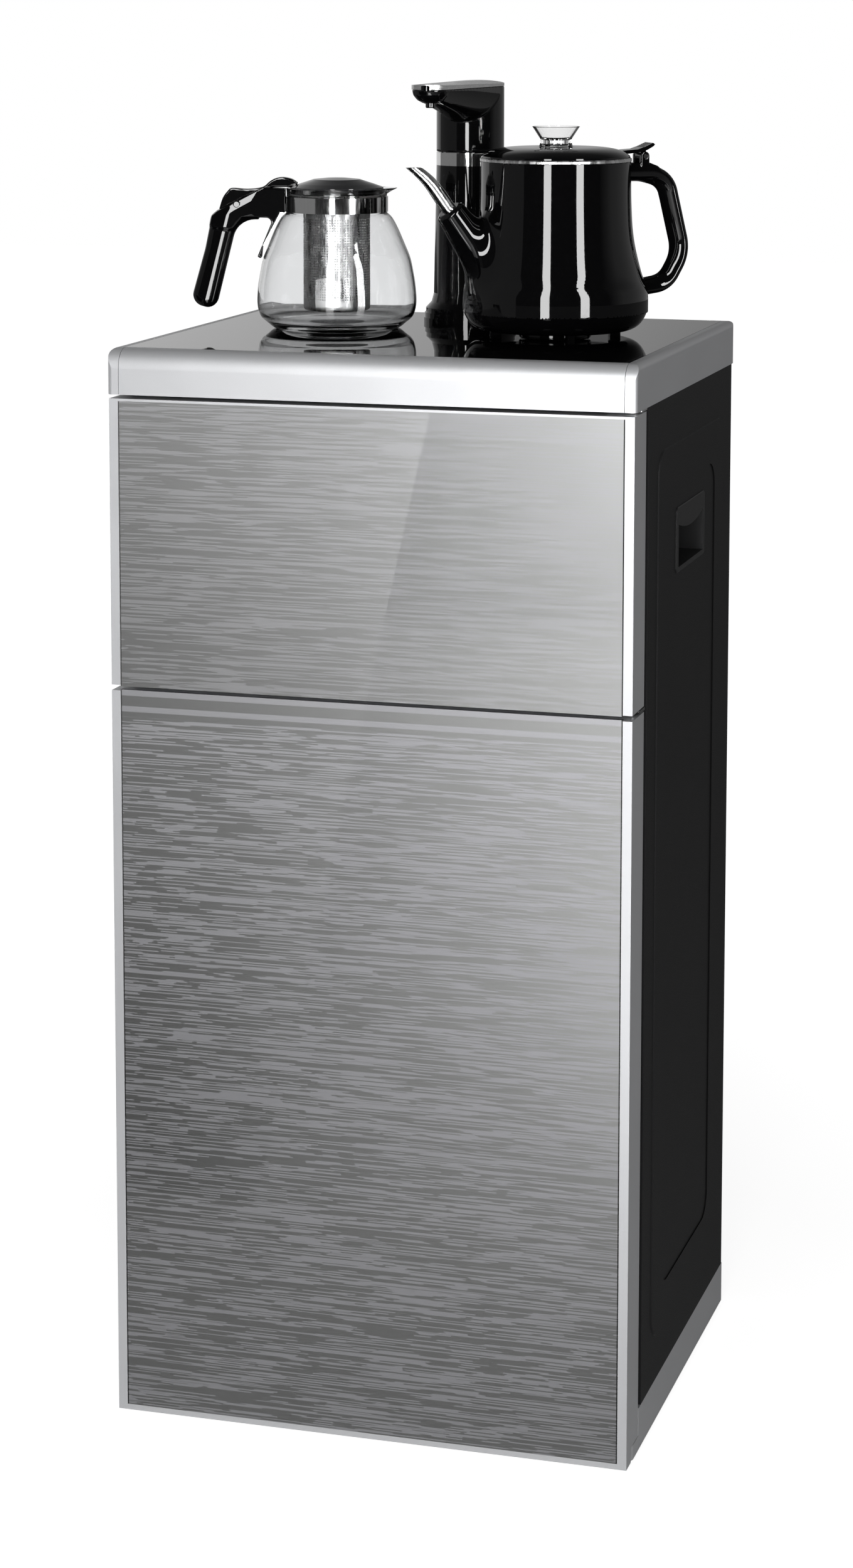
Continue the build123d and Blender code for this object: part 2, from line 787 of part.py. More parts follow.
def head_plan(gap, z):
    """The head's outline from above: a round end over the column and a smaller nose."""
    big = faucet_top_radius - gap
    small = nose_radius - gap
    lean = math.asin((big - small) / head_reach)
    c = math.cos(lean)
    s = math.sin(lean)
    nose_y = -head_reach
    outline = [
        ThreePointArc((big * c, -big * s, z), (0, big, z), (-big * c, -big * s, z)),
        Line((-big * c, -big * s, z), (-small * c, nose_y - small * s, z)),
        ThreePointArc((-small * c, nose_y - small * s, z), (0, nose_y - small, z),
                      (small * c, nose_y - small * s, z)),
        Line((small * c, nose_y - small * s, z), (big * c, -big * s, z)),
    ]
    return make_face(outline)


def keel_section(y, half_width, depth, top):
    """An upright half oval below the cap plate."""
    arc = ThreePointArc((-half_width, y, top), (0, y, top - depth), (half_width, y, top))
    return make_face([arc, Line((half_width, y, top), (-half_width, y, top))])


def faucet_head():
    top = head_top - plate_thickness
    under = faucet_top_radius - 0.2
    nose = nose_radius - 0.2
    shape = rod(0, 0, head_bottom, top, faucet_top_radius)
    shape += loft([keel_section(0, under, keel_depth, top),
                   keel_section(-head_reach, nose, nose_depth, top)])
    bowl = turned([(0, 0), (nose, 0), (nose * 0.92, -nose_depth * 0.39),
                   (nose * 0.71, -nose_depth * 0.71), (nose * 0.39, -nose_depth * 0.92),
                   (0, -nose_depth)])
    shape += Pos(0, -head_reach, top) * bowl
    bore_top = head_bottom + spigot_length + 2
    shape -= rod(0, 0, head_bottom - 1, bore_top, faucet_bore + fit_gap)
    channel_z = top - nose_depth / 2
    shape -= rod(0, 0, bore_top - 1, channel_z, nozzle_bore)
    shape -= rod_along_y(0, channel_z, -head_reach, 0, nozzle_bore)
    shape -= rod(0, -head_reach, top - 2 * nose_depth, channel_z, nozzle_bore)
    shape -= rod(0, -head_reach, top - 2 * nose_depth, top - nose_depth + nozzle_seat,
                 nozzle_radius + fit_gap)
    return Pos(faucet_x, faucet_y, 0) * shape


def faucet_cap():
    top = head_top - plate_thickness
    plate = extrude(head_plan(0, top), plate_thickness, dir=(0, 0, 1))
    crown_radius = (faucet_top_radius ** 2 + plate_crown ** 2) / (2 * plate_crown)
    crown = rod_along_y(0, head_top - crown_radius, -2 * head_reach, head_reach, crown_radius)
    return Pos(faucet_x, faucet_y, 0) * (plate & crown)


def faucet_nozzle():
    top = head_top - plate_thickness - nose_depth + nozzle_seat
    low = head_top - plate_thickness - nose_depth - nozzle_drop
    shape = rod(0, -head_reach, low, top, nozzle_radius)
    shape = chamfer(shape.edges().sort_by(Axis.Z)[:1], 0.8)
    shape -= rod(0, -head_reach, low - 1, top + 1, nozzle_bore)
    return Pos(faucet_x, faucet_y, 0) * shape


# Kettle, in its own frame: axis on Z, glass top at 0, handle towards +X
def kettle_outline():
    """The shell's outer curve above the seam, as (radius, height)."""
    swell = kettle_belly_radius - kettle_rim_radius
    rise = kettle_rim_height - kettle_belly_height
    shoulder = [(0.93, 0.08), (0.59, 0.2), (0.17, 0.44), (0.02, 0.7), (0.0, 1.0)]
    curve = [(kettle_belly_radius - 1.0, kettle_seam_height),
             (kettle_belly_radius, kettle_belly_height)]
    for wide, high in shoulder:
        curve.append((kettle_rim_radius + swell * wide, kettle_belly_height + rise * high))
    return curve


def kettle_cavity(curve, wall, floor):
    """The solid inside a curve, from a floor up, to cut or to fit pieces in."""
    inner = inset(curve, wall)
    first = (inner[0][0] - wall, floor)
    points = [first] + inner[1:-1] + [(inner[-1][0], curve[-1][1])]
    side = Spline(*upright(points))
    lid = Polyline((points[-1][0], 0, points[-1][1]), (0, 0, points[-1][1]),
                   (0, 0, floor), (points[0][0], 0, floor))
    return revolve(make_face([side, lid]), Axis.Z)


def kettle_body_solid(gap=0.0):
    """The shell's outer form before it is hollowed, larger by a gap."""
    curve = inset(kettle_outline(), -gap)
    side = Spline(*upright(curve))
    ends = Polyline((curve[-1][0], 0, curve[-1][1]), (0, 0, curve[-1][1]),
                    (0, 0, curve[0][1]), (curve[0][0], 0, curve[0][1]))
    return revolve(make_face([side, ends]), Axis.Z)


def spout_frame():
    """Where the spout's collar is, with Z along the spout."""
    lean = math.radians(spout_lean)
    return Plane(origin=(-spout_collar_reach, 0, spout_collar_height),
                 z_dir=(-math.sin(lean), 0, math.cos(lean)))


def kettle_shell():
    body = kettle_body_solid()
    cone = spout_frame() * Pos(0, 0, -spout_socket_length / 2) * Cone(
        spout_root_radius, spout_socket_radius, spout_socket_length)
    cone = fillet(cone.edges().sort_by(Axis.Z)[-1:], 2.5)
    cavity = kettle_cavity(kettle_outline(), kettle_wall, kettle_seam_height)
    return kettle_place * (body + cone - cavity - spout_bore(spout_radius + fit_gap))


def pot_form():
    """The steel pot with its heating plate, before it is hollowed."""
    return kettle_cavity(kettle_outline(), kettle_wall + touch_gap,
                         kettle_seam_height + pot_above_seam)


def heating_plate_layer():
    """The layer across the kettle that the heating plate takes up."""
    low = kettle_seam_height + pot_above_seam
    return rod(0, 0, low - 1, low + heating_plate_thickness, kettle_belly_radius)


def kettle_pot():
    """The pot's wall, which stands on the heating plate."""
    inner = kettle_cavity(kettle_outline(), kettle_wall + touch_gap + pot_wall,
                          kettle_seam_height + pot_above_seam + heating_plate_thickness)
    wall = pot_form() - inner - heating_plate_layer()
    return kettle_place * (wall - spout_bore(spout_radius + fit_gap))


def kettle_heating_plate():
    return kettle_place * (pot_form() & heating_plate_layer())


def kettle_base():
    r1 = kettle_belly_radius - 1.0
    z1 = kettle_seam_height
    z0 = kettle_clearance
    grow = r1 - kettle_seat_radius
    tall = z1 - z0
    curve = [(kettle_seat_radius, z0), (kettle_seat_radius + 0.42 * grow, z0 + 0.1 * tall),
             (kettle_seat_radius + 0.73 * grow, z0 + 0.38 * tall),
             (kettle_seat_radius + 0.9 * grow, z0 + 0.7 * tall), (r1, z1)]
    side = Spline(*upright(curve))
    ends = Polyline((r1, 0, z1), (0, 0, z1), (0, 0, z0), (kettle_seat_radius, 0, z0))
    shape = revolve(make_face([side, ends]), Axis.Z)
    shape -= rod(0, 0, z0 + kettle_wall, z1 + 1, kettle_seat_radius)
    shape -= rod(0, 0, z0 - 1, z0 + kettle_wall + 1, coupler_post_radius + touch_gap)
    for angle in (0, 90, 180, 270):
        foot = Pos(kettle_seat_radius - 6, 0, z0 / 2) * Box(9, 6, z0)
        shape += Rot(0, 0, angle - 10) * foot
    return kettle_place * shape


def kettle_rim_ring():
    low = kettle_rim_height
    high = low + rim_ring_height
    outer = kettle_rim_radius + 0.4
    shape = turned([(outer, low), (outer, high - 0.8), (outer - 0.8, high),
                    (outer - rim_ring_width, high), (outer - rim_ring_width, low)])
    return kettle_place * shape


def kettle_spout():
    """A steel tube from the socket that leans over and ends in a long level mouth."""
    return kettle_place * (spout_form(0) - spout_form(spout_wall))


def spout_form(wall):
    """The spout's outer form, or its inside when a wall is taken off."""
    inside = 14.0
    straight = spout_frame() * Pos(0, 0, -inside / 2 - wall) * Cylinder(
        spout_radius - wall, inside + 2 * wall)
    lean = math.radians(spout_lean + 3)
    high = 26.0
    neck = Plane(origin=(-spout_collar_reach - high * math.tan(lean), 0,
                         spout_collar_height + high),
                 z_dir=(-math.sin(lean + 0.1), 0, math.cos(lean + 0.1)))
    mouth = Plane(origin=(-spout_mouth_reach, 0, spout_mouth_height + wall), z_dir=(0, 0, 1))
    return straight + loft([
        spout_frame() * Circle(spout_radius - wall), neck * Circle(spout_tip_radius + 0.1 - wall),
        mouth * Ellipse(spout_mouth_length / 2 - wall, spout_tip_radius - wall)])


def spout_bore(radius):
    """The spout's way through the socket and the walls behind it."""
    length = spout_socket_length + 16
    return spout_frame() * Pos(0, 0, 10 - length / 2) * Cylinder(radius, length)


def kettle_handle():
    """A D-shaped grip, a seat for the hinge on top of it, and the hinge's two ears."""
    ratio = kettle_rim_height / 143.7
    seat = kettle_rim_radius - 0.2
    top = 138.2 * ratio
    outer = FilletPolyline((seat, 0, top), (104, 0, top), (122, 0, 64.5 * ratio),
                           (103.9, 0, 33.2 * ratio), (kettle_belly_radius - 4, 0, 29 * ratio),
                           radius=(18, 38, 26))
    inner = FilletPolyline((kettle_belly_radius - 6, 0, 43.4 * ratio), (94.4, 0, 47.7 * ratio),
                           (104.3, 0, 64.8 * ratio), (89.3, 0, 125.4 * ratio),
                           (seat, 0, 125.4 * ratio), radius=(17, 20, 14))
    edges = [outer, inner, Line(outer @ 1, inner @ 0), Line(inner @ 1, outer @ 0)]
    shape = side_plate(edges, kettle_handle_width)
    shape = fillet(shape.faces().filter_by(Axis.Y).edges(), kettle_handle_round)
    step = side_plate([Polyline(*upright([
        (seat, top - 5), (seat, top + 2.9), (kettle_pin_reach + 4.8, top + 2.9),
        (kettle_pin_reach + 12, top - 0.2), (kettle_pin_reach + 12, top - 5)]), close=True)],
        kettle_handle_width - 2)
    shape = shape + step - kettle_body_solid(fit_gap)
    shape -= rod(0, 0, kettle_rim_height - 1, kettle_pin_height, kettle_rim_radius + 0.7)
    for side in (-1, 1):
        y = side * (knuckle_width / 2 + touch_gap + ear_thickness / 2)
        ear = Pos(kettle_pin_reach, y, kettle_pin_height) * Rot(90, 0, 0) * Cylinder(
            ear_radius, ear_thickness)
        web = Pos(kettle_pin_reach, y, (kettle_pin_height + top) / 2) * Box(
            2 * ear_radius, ear_thickness, kettle_pin_height - top)
        shape += ear + web
    return kettle_place * (shape - kettle_pin_hole())


def kettle_pin_hole():
    """The hole for the hinge pin, through both ears and the knuckle."""
    return Pos(kettle_pin_reach, 0, kettle_pin_height) * Rot(90, 0, 0) * Cylinder(
        kettle_pin_radius + fit_gap, 40)


def kettle_hinge_pin():
    length = knuckle_width + 2 * touch_gap + 2 * ear_thickness
    pin = Pos(kettle_pin_reach, 0, kettle_pin_height) * Rot(90, 0, 0) * Cylinder(
        kettle_pin_radius, length)
    return kettle_place * pin


def kettle_lid():
    """The lid with the thumb lever and the knuckle that turns on the pin."""
    base = kettle_rim_height + rim_ring_height + touch_gap
    high = base + kettle_lid_height
    r = kettle_rim_radius - 1.0
    neck = funnel_waist_radius - 2
    thin = kettle_lid_wall
    crown = Spline(*upright([(neck, high), (0.5 * r, high - 0.8), (0.78 * r, high - 2.2),
                             (0.91 * r, high - 4.6), (0.98 * r, high - 7.2)]))
    under = Spline(*upright([(0.92 * r, base), (0.88 * r, high - 4.8 - thin),
                             (0.76 * r, high - 2.4 - thin), (0.5 * r, high - 0.9 - thin),
                             (neck, high - thin)]))
    edge = Polyline(*upright([(0.98 * r, high - 7.2), (r, high - 8.2), (r, base), (0.92 * r, base)]))
    hole = Polyline(*upright([(neck, high - thin), (neck, high)]))
    lid = revolve(make_face([crown, edge, under, hole]), Axis.Z)
    clear = kettle_pin_height + ear_radius + touch_gap
    tip = kettle_pin_reach + 9.2
    lever = side_plate([Polyline(*upright([
        (0.88 * r, base + 1.6), (kettle_pin_reach - 14, base + 2.1), (kettle_pin_reach - 3.5, clear - 0.7),
        (kettle_pin_reach, clear + 0.2), (kettle_pin_reach + 2.4, clear + 1.1), (tip - 1.7, clear + 3.8),
        (tip, clear + 5.4), (tip - 1.8, clear + 6.8), (kettle_pin_reach - 0.2, clear + 3.6),
        (kettle_pin_reach - 6.7, clear + 1.6), (kettle_pin_reach - 15.5, clear + 1.1),
        (0.88 * r, base + 4.3)]), close=True)], lever_width)
    knuckle = Pos(kettle_pin_reach, 0, kettle_pin_height) * Rot(90, 0, 0) * Cylinder(
        ear_radius - touch_gap, knuckle_width)
    stem = Pos(kettle_pin_reach, 0, kettle_pin_height + ear_radius / 2 + 0.5) * Box(
        2 * ear_radius - 3, knuckle_width, ear_radius + 1.6)
    return kettle_place * (lid + lever + knuckle + stem - kettle_pin_hole())


def funnel_knob():
    """A clear fill funnel that is also the lid's knob."""
    base = kettle_rim_height + rim_ring_height + touch_gap + kettle_lid_height
    high = base + funnel_height
    waist = base + funnel_neck
    stem = funnel_waist_radius - 2 - fit_gap
    shape = turned([(funnel_waist_radius + 0.9, base), (funnel_waist_radius, base + 1.5),
                    (funnel_waist_radius, waist),
                    (funnel_top_radius, high), (funnel_top_radius - funnel_wall, high),
                    (funnel_waist_radius - funnel_wall, waist), (funnel_drain, waist - 1.5),
                    (funnel_drain, base - 5), (stem, base - 5), (stem, base)])
    return kettle_place * shape


def kettle_coupler():
    """The power base on the glass, with the post that plugs into the kettle."""
    shape = turned([(0, coupler_post_height), (coupler_post_radius, coupler_post_height),
                    (coupler_post_radius, coupler_height), (coupler_radius - 1, coupler_height),
                    (coupler_radius, coupler_height - 1), (coupler_radius, 0),
                    (coupler_body_radius, 0), (coupler_body_radius, -coupler_body_depth),
                    (0, -coupler_body_depth)])
    return Pos(kettle_x, kettle_y, cap_top) * shape


# Teapot, in its own frame: axis on Z, glass top at 0, handle towards -X
def teapot_outline():
    """The glass's outer curve, as (radius, height)."""
    foot = teapot_foot_radius
    belly = teapot_belly_radius
    grow = belly - foot
    low = teapot_belly_height
    curve = [(foot, 0), (foot + 0.5 * grow, 0.22 * low), (foot + 0.85 * grow, 0.46 * low),
             (belly, low)]
    fall = teapot_shoulder_height - low
    neck = teapot_neck_radius
    for wide, high in ((0.965, 0.17), (0.895, 0.32), (0.80, 0.47), (0.625, 0.62),
                       (0.385, 0.81), (0.19, 0.93), (0.0, 1.0)):
        curve.append((neck + (belly - neck) * wide, low + fall * high))
    curve.append((neck, teapot_shoulder_height + collar_height))
    return curve


def teapot_glass():
    return teapot_place * turned_shell(teapot_outline(), teapot_wall)


def teapot_collar():
    low = teapot_shoulder_height
    high = low + collar_height
    inner = teapot_neck_radius + fit_gap
    shape = turned([(collar_radius, low), (collar_radius, high), (inner, high), (inner, low)])
    return teapot_place * shape


def teapot_rim():
    """The black band and the steel rim, drawn out into a lip opposite the handle."""
    low = teapot_shoulder_height + collar_height
    high = low + teapot_rim_height
    outer = collar_radius - 0.8
    inner = outer - teapot_rim_wall
    ring = turned([(outer, low), (outer, high), (inner, high), (inner, low)])
    width = 13.0
    lip = loft([lip_section(low + 0.3, outer - 3, 2.0, width * 0.6),
                lip_section(high, lip_reach - 4, lip_reach - outer + 1, width)])
    hollow = loft([lip_section(low + 2, outer - 4.4, 2.0, width * 0.6),
                   lip_section(high + 0.1, lip_reach - 5.4, lip_reach - outer + 1, width)])
    mouth = rod(0, 0, low - 1, high + 1, inner)
    return teapot_place * (ring + lip - hollow - mouth)


def lip_section(z, reach, length, width):
    """A level section of the lip: a rounded wedge that ends at a reach."""
    arc = ThreePointArc((reach - length, -width, z), (reach + 2, 0, z), (reach - length, width, z))
    return make_face([arc, Line((reach - length, width, z), (reach - length, -width, z))])


def infuser():
    """A steel basket that hangs from the neck, with rows of slots round it."""
    top = teapot_shoulder_height + collar_height + 1
    r = infuser_radius
    flange = teapot_neck_radius - teapot_wall - touch_gap
    outer = [(0, infuser_bottom), (r - 3, infuser_bottom), (r, infuser_bottom + 3), (r, top - 3),
             (flange, top - 1), (flange + 1.5, top), (flange + 1.5, top + infuser_wall)]
    inner = [(flange, top + infuser_wall), (r - infuser_wall, top - 2.4),
             (r - infuser_wall, infuser_bottom + 3), (r - 3, infuser_bottom + infuser_wall),
             (0, infuser_bottom + infuser_wall)]
    shape = turned(outer + inner)
    pitch = (top - infuser_bottom - 16) / infuser_slot_rows
    cutters = []
    for row in range(infuser_slot_rows):
        z = infuser_bottom + 10 + row * pitch
        for index in range(infuser_slots_round // 2):
            turn = Rot(0, 0, index * 360 / infuser_slots_round)
            cutters.append(turn * Pos(0, 0, z) * Box(3 * r, 4, 1.2))
    return teapot_place * (shape - cutters)


def teapot_handle():
    """Grip, bridge and tail in one moulding, slotted for the lever."""
    ratio = teapot_shoulder_height / 98.5
    seat = -collar_radius - fit_gap
    grip = FilletPolyline(*upright([
        (-66, 116.6 * ratio), (-100.6, 98.6 * ratio), (-105.5, 94.5 * ratio),
        (-110.9, 67.8 * ratio), (-123.8, 21.5 * ratio), (-102.4, 15.2 * ratio),
        (-83.6, 91.4 * ratio), (-66, 91.8 * ratio)]), radius=(4, 9, 60, 8, 8, 19))
    grip = side_plate([grip, Line(grip @ 1, grip @ 0)], teapot_handle_width)
    grip = fillet(grip.faces().filter_by(Axis.Y).edges(), teapot_handle_round)
    bridge = FilletPolyline(*upright([
        (seat, 98 * ratio), (seat, 117.5 * ratio), (-61.8, 119 * ratio), (-74, 111.5 * ratio),
        (-74, 91.7 * ratio), (-53.2, 92.6 * ratio), (-66.8, 60.5 * ratio), (-63.4, 58.7 * ratio),
        (-62.3, 69.9 * ratio), (-47.6, 97.9 * ratio)]), radius=(1.5, 9, 4, 3, 4, 1, 1, 2))
    bridge = side_plate([bridge, Line(bridge @ 1, bridge @ 0)], teapot_handle_width)
    shape = grip + bridge - teapot_lever_slot() - teapot_pin_hole()
    return teapot_place * (shape - teapot_solid())


def teapot_lever_slot():
    """The room that the lever sweeps between the handle's cheeks."""
    width = lever_slot_width + 2 * lever_slot_gap
    pin = Pos(-teapot_pin_reach, 0, teapot_pin_height) * Rot(90, 0, 0)
    slot = pin * Cylinder(lever_hub_radius + 2 * lever_slot_gap, width)
    heel = pin * Cylinder(lever_heel_radius + lever_slot_gap, width)
    heel -= Pos(-teapot_pin_reach + 30, 0, teapot_pin_height) * Box(60, 40, 80)
    above = Pos(-teapot_pin_reach + 10, 0, teapot_pin_height + 15) * Box(64, width, 30)
    return slot + heel + above


def teapot_pin_hole():
    """The hole for the lever's pin."""
    return Pos(-teapot_pin_reach, 0, teapot_pin_height) * Rot(90, 0, 0) * Cylinder(
        teapot_pin_radius + fit_gap, 40)


def teapot_solid():
    """The glass's outer form and its collar, grown by a small gap, to cut with."""
    curve = [(r + touch_gap, z) for r, z in teapot_outline()]
    side = Spline(*upright(curve))
    ends = Polyline((curve[-1][0], 0, curve[-1][1]), (0, 0, curve[-1][1]), (0, 0, 0),
                    (curve[0][0], 0, 0))
    solid = revolve(make_face([side, ends]), Axis.Z)
    high = teapot_shoulder_height + collar_height + teapot_rim_height + 5
    return solid + rod(0, 0, teapot_shoulder_height - 1, high, collar_radius + fit_gap)


def teapot_pin():
    pin = Pos(-teapot_pin_reach, 0, teapot_pin_height) * Rot(90, 0, 0) * Cylinder(
        teapot_pin_radius, teapot_handle_width + 0.8)
    return teapot_place * pin


def teapot_strap():
    """A bright strip between the handle's tail and the glass."""
    ratio = teapot_shoulder_height / 98.5
    strip = side_plate([Polyline(
        (-collar_radius - 2.1, 0, 97.8 * ratio), (-collar_radius - 3.9, 0, 97.8 * ratio),
        (-collar_radius - 18.6, 0, 70 * ratio), (-collar_radius - 17.3, 0, 69.4 * ratio),
        close=True)], strap_width)
    return teapot_place * (strip - teapot_solid())


def teapot_lid():
    """A domed lid that sits in the rim."""
    base = teapot_shoulder_height + collar_height + teapot_rim_height - 1
    r = teapot_lid_radius
    high = base + teapot_lid_rise
    lid = turned([(r, base), (r, base + 1.6), (r * 0.8, base + 4.4), (r * 0.5, high - 1.4),
                  (r * 0.2, high - 0.2), (0, high), (0, high - teapot_lid_wall),
                  (r * 0.5, high - 1.4 - teapot_lid_wall), (r * 0.9, base)])
    return teapot_place * lid


def teapot_lever():
    """The thumb lever, from its plate on the handle over the pin to the lid."""
    x = -teapot_pin_reach
    z = teapot_pin_height
    over = teapot_shoulder_height + collar_height + teapot_rim_height + 0.6
    top = Spline(*upright([(x - 15.2, z - 4.5), (x - 12.1, z + 4.9), (x - 8.0, z + 10.7),
                           (x - 4.0, z + 13.4), (x + 8.9, z + 12.6), (x + 21.4, z + 14.2),
                           (x + 27.7, z + 19.0), (x + 33.0, z + 21.7), (x + 39.3, z + 22.5),
                           (x + 46.4, z + 21.0), (x + 51.3, z + 17.9)]))
    under = Polyline(*upright([(x + 51.3, z + 17.9), (x + 50, over), (x + 30, over),
                               (x + 12, z + 2), (x, z - lever_hub_radius),
                               (x - 15.2, z - 4.5)]))
    lever = side_plate([top, under], lever_slot_width)
    return teapot_place * (lever - teapot_pin_hole()) - teapot_lid()


# Inside the top: what heats, senses and feeds
def keep_warm_plate():
    return rod(teapot_x, teapot_y, glass_bottom - warm_plate_thickness, glass_bottom,
               warm_plate_radius)


def touch_board():
    y = glass_front + ledge_width + 22
    return block(-touch_board_width / 2, touch_board_width / 2, y - touch_board_depth / 2,
                 y + touch_board_depth / 2, glass_bottom - touch_board_thickness, glass_bottom)


def power_supply():
    x = -half / 2
    z = upper_middle
    shape = block(x - supply_width / 2, x + supply_width / 2, panel_back - sheet - supply_depth,
                  panel_back - sheet, z - supply_height / 2, z + supply_height / 2)
    return chamfer(shape.edges().filter_by(Axis.Z).group_by(Axis.Y)[0], 3)


def pump_axis():
    """The pump's place: x, y and the height of its head."""
    return pump_x, panel_back - sheet - pump_head_size / 2 - pump_back_gap, upper_sill + pump_above_sill


def water_pump():
    x, y, z = pump_axis()
    r = pump_head_size / 2
    head = block(x - r, x + r, y - r, y + r, z - r, z + r)
    motor = rod(x, y, z + r, z + r + pump_motor_length, pump_radius)
    inlet = rod(x - r / 2, y, z - r - 8, z - r, hose_bore - fit_gap)
    outlet = rod(x + r + 6, y, z, z + 14, hose_bore - fit_gap)
    elbow = rod_along_x(y, z + 2, x + r, x + r + 6 + hose_bore, hose_bore - fit_gap)
    return head + motor + inlet + outlet + elbow


def pump_bracket():
    x, y, z = pump_axis()
    r = pump_head_size / 2
    wall = panel_back - sheet
    shape = block(x - r, x + r, y + r, y + r + 2, z - r, z + r)
    shape += block(x - r, x + r, y + r, wall, z - r - 2, z - r)
    return shape + block(x - r - 8, x + r + 8, wall - 2, wall, z - r - 2, z + r)


def tube_place():
    """The dip tube's x and y, in the back corner of the lower compartment."""
    return lower_opening_half - dip_tube_side_gap, lower_liner_back - liner_wall - dip_tube_back_gap


def dip_tube():
    x, y = tube_place()
    low = base_top + dip_tube_above_floor
    shape = rod(x, y, low, lower_liner_top + 6, dip_tube_radius)
    return shape - rod(x, y, low - 1, lower_liner_top + 7, dip_tube_bore)


def suction_hose():
    x0, y0 = tube_place()
    x, y, z = pump_axis()
    r = pump_head_size / 2
    low = lower_liner_top + 6
    end = (x - r / 2, y, z - r - 8)
    level = (low + end[2]) / 2
    points = [(x0, y0, low), (x0, y0, level), (end[0], end[1], level), end]
    return piped(points, [7, 7], hose_radius, hose_bore)


def delivery_hose():
    x, y, z = pump_axis()
    r = pump_head_size / 2
    start = (x + r + 6, y, z + 14)
    level = glass_bottom - faucet_stem_length - 4
    points = [start, (start[0], start[1], level), (faucet_x, faucet_y, level),
              (faucet_x, faucet_y, ring_top + spigot_length - 2)]
    return piped(points, [12, 12], hose_radius, hose_bore)


def power_inlet():
    """The plate where the mains lead enters, with the well of the power switch."""
    x0 = inlet_x - inlet_width / 2
    x1 = inlet_x + inlet_width / 2
    shape = block(x0, x1, panel_back, back, inlet_z - inlet_height / 2, inlet_z + inlet_height / 2)
    gland_x = inlet_x - inlet_width / 4
    shape += rod_along_y(gland_x, inlet_z, back - gland_length, back, gland_radius)
    shape -= rod_along_y(gland_x, inlet_z, back - gland_length - 1, back + 1, gland_bore)
    x, y, z = switch_place()
    w = switch_width / 2 + touch_gap
    h = switch_length / 2 + touch_gap
    shape += block(x - w - 2, x + w + 2, back - switch_depth - 2, back, z - h - 2, z + h + 2)
    shape -= block(x - w, x + w, back - switch_depth, back + 1, z - h, z + h)
    return shape - rod_along_x(y, z, x - w - 1, x + w + 1, switch_pivot_radius + fit_gap)


def switch_place():
    """The rocker's pivot."""
    return inlet_x + inlet_width / 4, back - 6, inlet_z


def power_switch():
    """A rocker that leans one way at rest, on two stub pins."""
    x, y, z = switch_place()
    h = switch_length / 2 - 1.0
    outline = make_face(Polyline((0, 4.2, -h), (0, 2.6, 0), (0, 4.2, h), (0, -3, h * 0.4),
                                 (0, -3, -h * 0.4), close=True))
    body = extrude(outline, switch_width / 2, dir=(1, 0, 0), both=True)
    stub = Rot(0, 90, 0) * Cylinder(switch_pivot_radius, switch_width + 2)
    return Pos(x, y, z) * Rot(-switch_tilt, 0, 0) * (body + stub)


cap_frame, cap_strip = cap_pieces()

save("base_plinth", base_plinth())
save("rubber_feet", rubber_feet())
save("side_panel_right", side_panel_right())
save("side_panel_left", mirrored(side_panel_right()))
save("carry_pockets", Compound([carry_pocket_right(), mirrored(carry_pocket_right())]))
save("back_panel", back_panel())
save("panel_screws", panel_screws())
save("front_frame", front_frame())
save("strike_plates", strike_plates())
save("lower_hinge_pin", lower_hinge_pin())
save("middle_hinge", middle_hinge())
save("upper_hinge", upper_hinge())
save("lower_liner", lower_liner())
save("upper_liner", upper_liner())
save("cap_frame", cap_frame)
save("cap_front_strip", cap_strip)
save("glass_top", glass_top())
make_doors()

save("faucet_column", faucet_column())
save("faucet_ring", faucet_ring())
save("faucet_head", faucet_head())
save("faucet_cap", faucet_cap())
save("faucet_nozzle", faucet_nozzle())

save("kettle_shell", kettle_shell())
save("kettle_pot", kettle_pot())
save("kettle_heating_plate", kettle_heating_plate())
save("kettle_base", kettle_base())
save("kettle_rim_ring", kettle_rim_ring())
save("kettle_spout", kettle_spout())
save("kettle_handle", kettle_handle())
save("kettle_hinge_pin", kettle_hinge_pin())
save("kettle_lid", kettle_lid())
save("funnel_knob", funnel_knob())
save("kettle_coupler", kettle_coupler())

save("teapot_glass", teapot_glass())
save("teapot_collar", teapot_collar())
save("teapot_rim", teapot_rim())
save("infuser", infuser())
save("teapot_handle", teapot_handle())
save("teapot_pin", teapot_pin())
save("teapot_strap", teapot_strap())
save("teapot_lid", teapot_lid())
save("teapot_lever", teapot_lever())

save("keep_warm_plate", keep_warm_plate())
save("touch_board", touch_board())
save("power_supply", power_supply())
save("water_pump", water_pump())
save("pump_bracket", pump_bracket())
save("dip_tube", dip_tube())
save("suction_hose", suction_hose())
save("delivery_hose", delivery_hose())
save("power_inlet", power_inlet())
save("power_switch", power_switch())
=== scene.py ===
"""Looks of a tall tea bar water dispenser: finishes, fine pieces, studio light and camera.

Metres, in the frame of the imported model: +Z up, the doors face -Y and hinge on the +X side.
"""

import math

import bmesh
import bpy
import numpy as np
from mathutils import Matrix, Vector


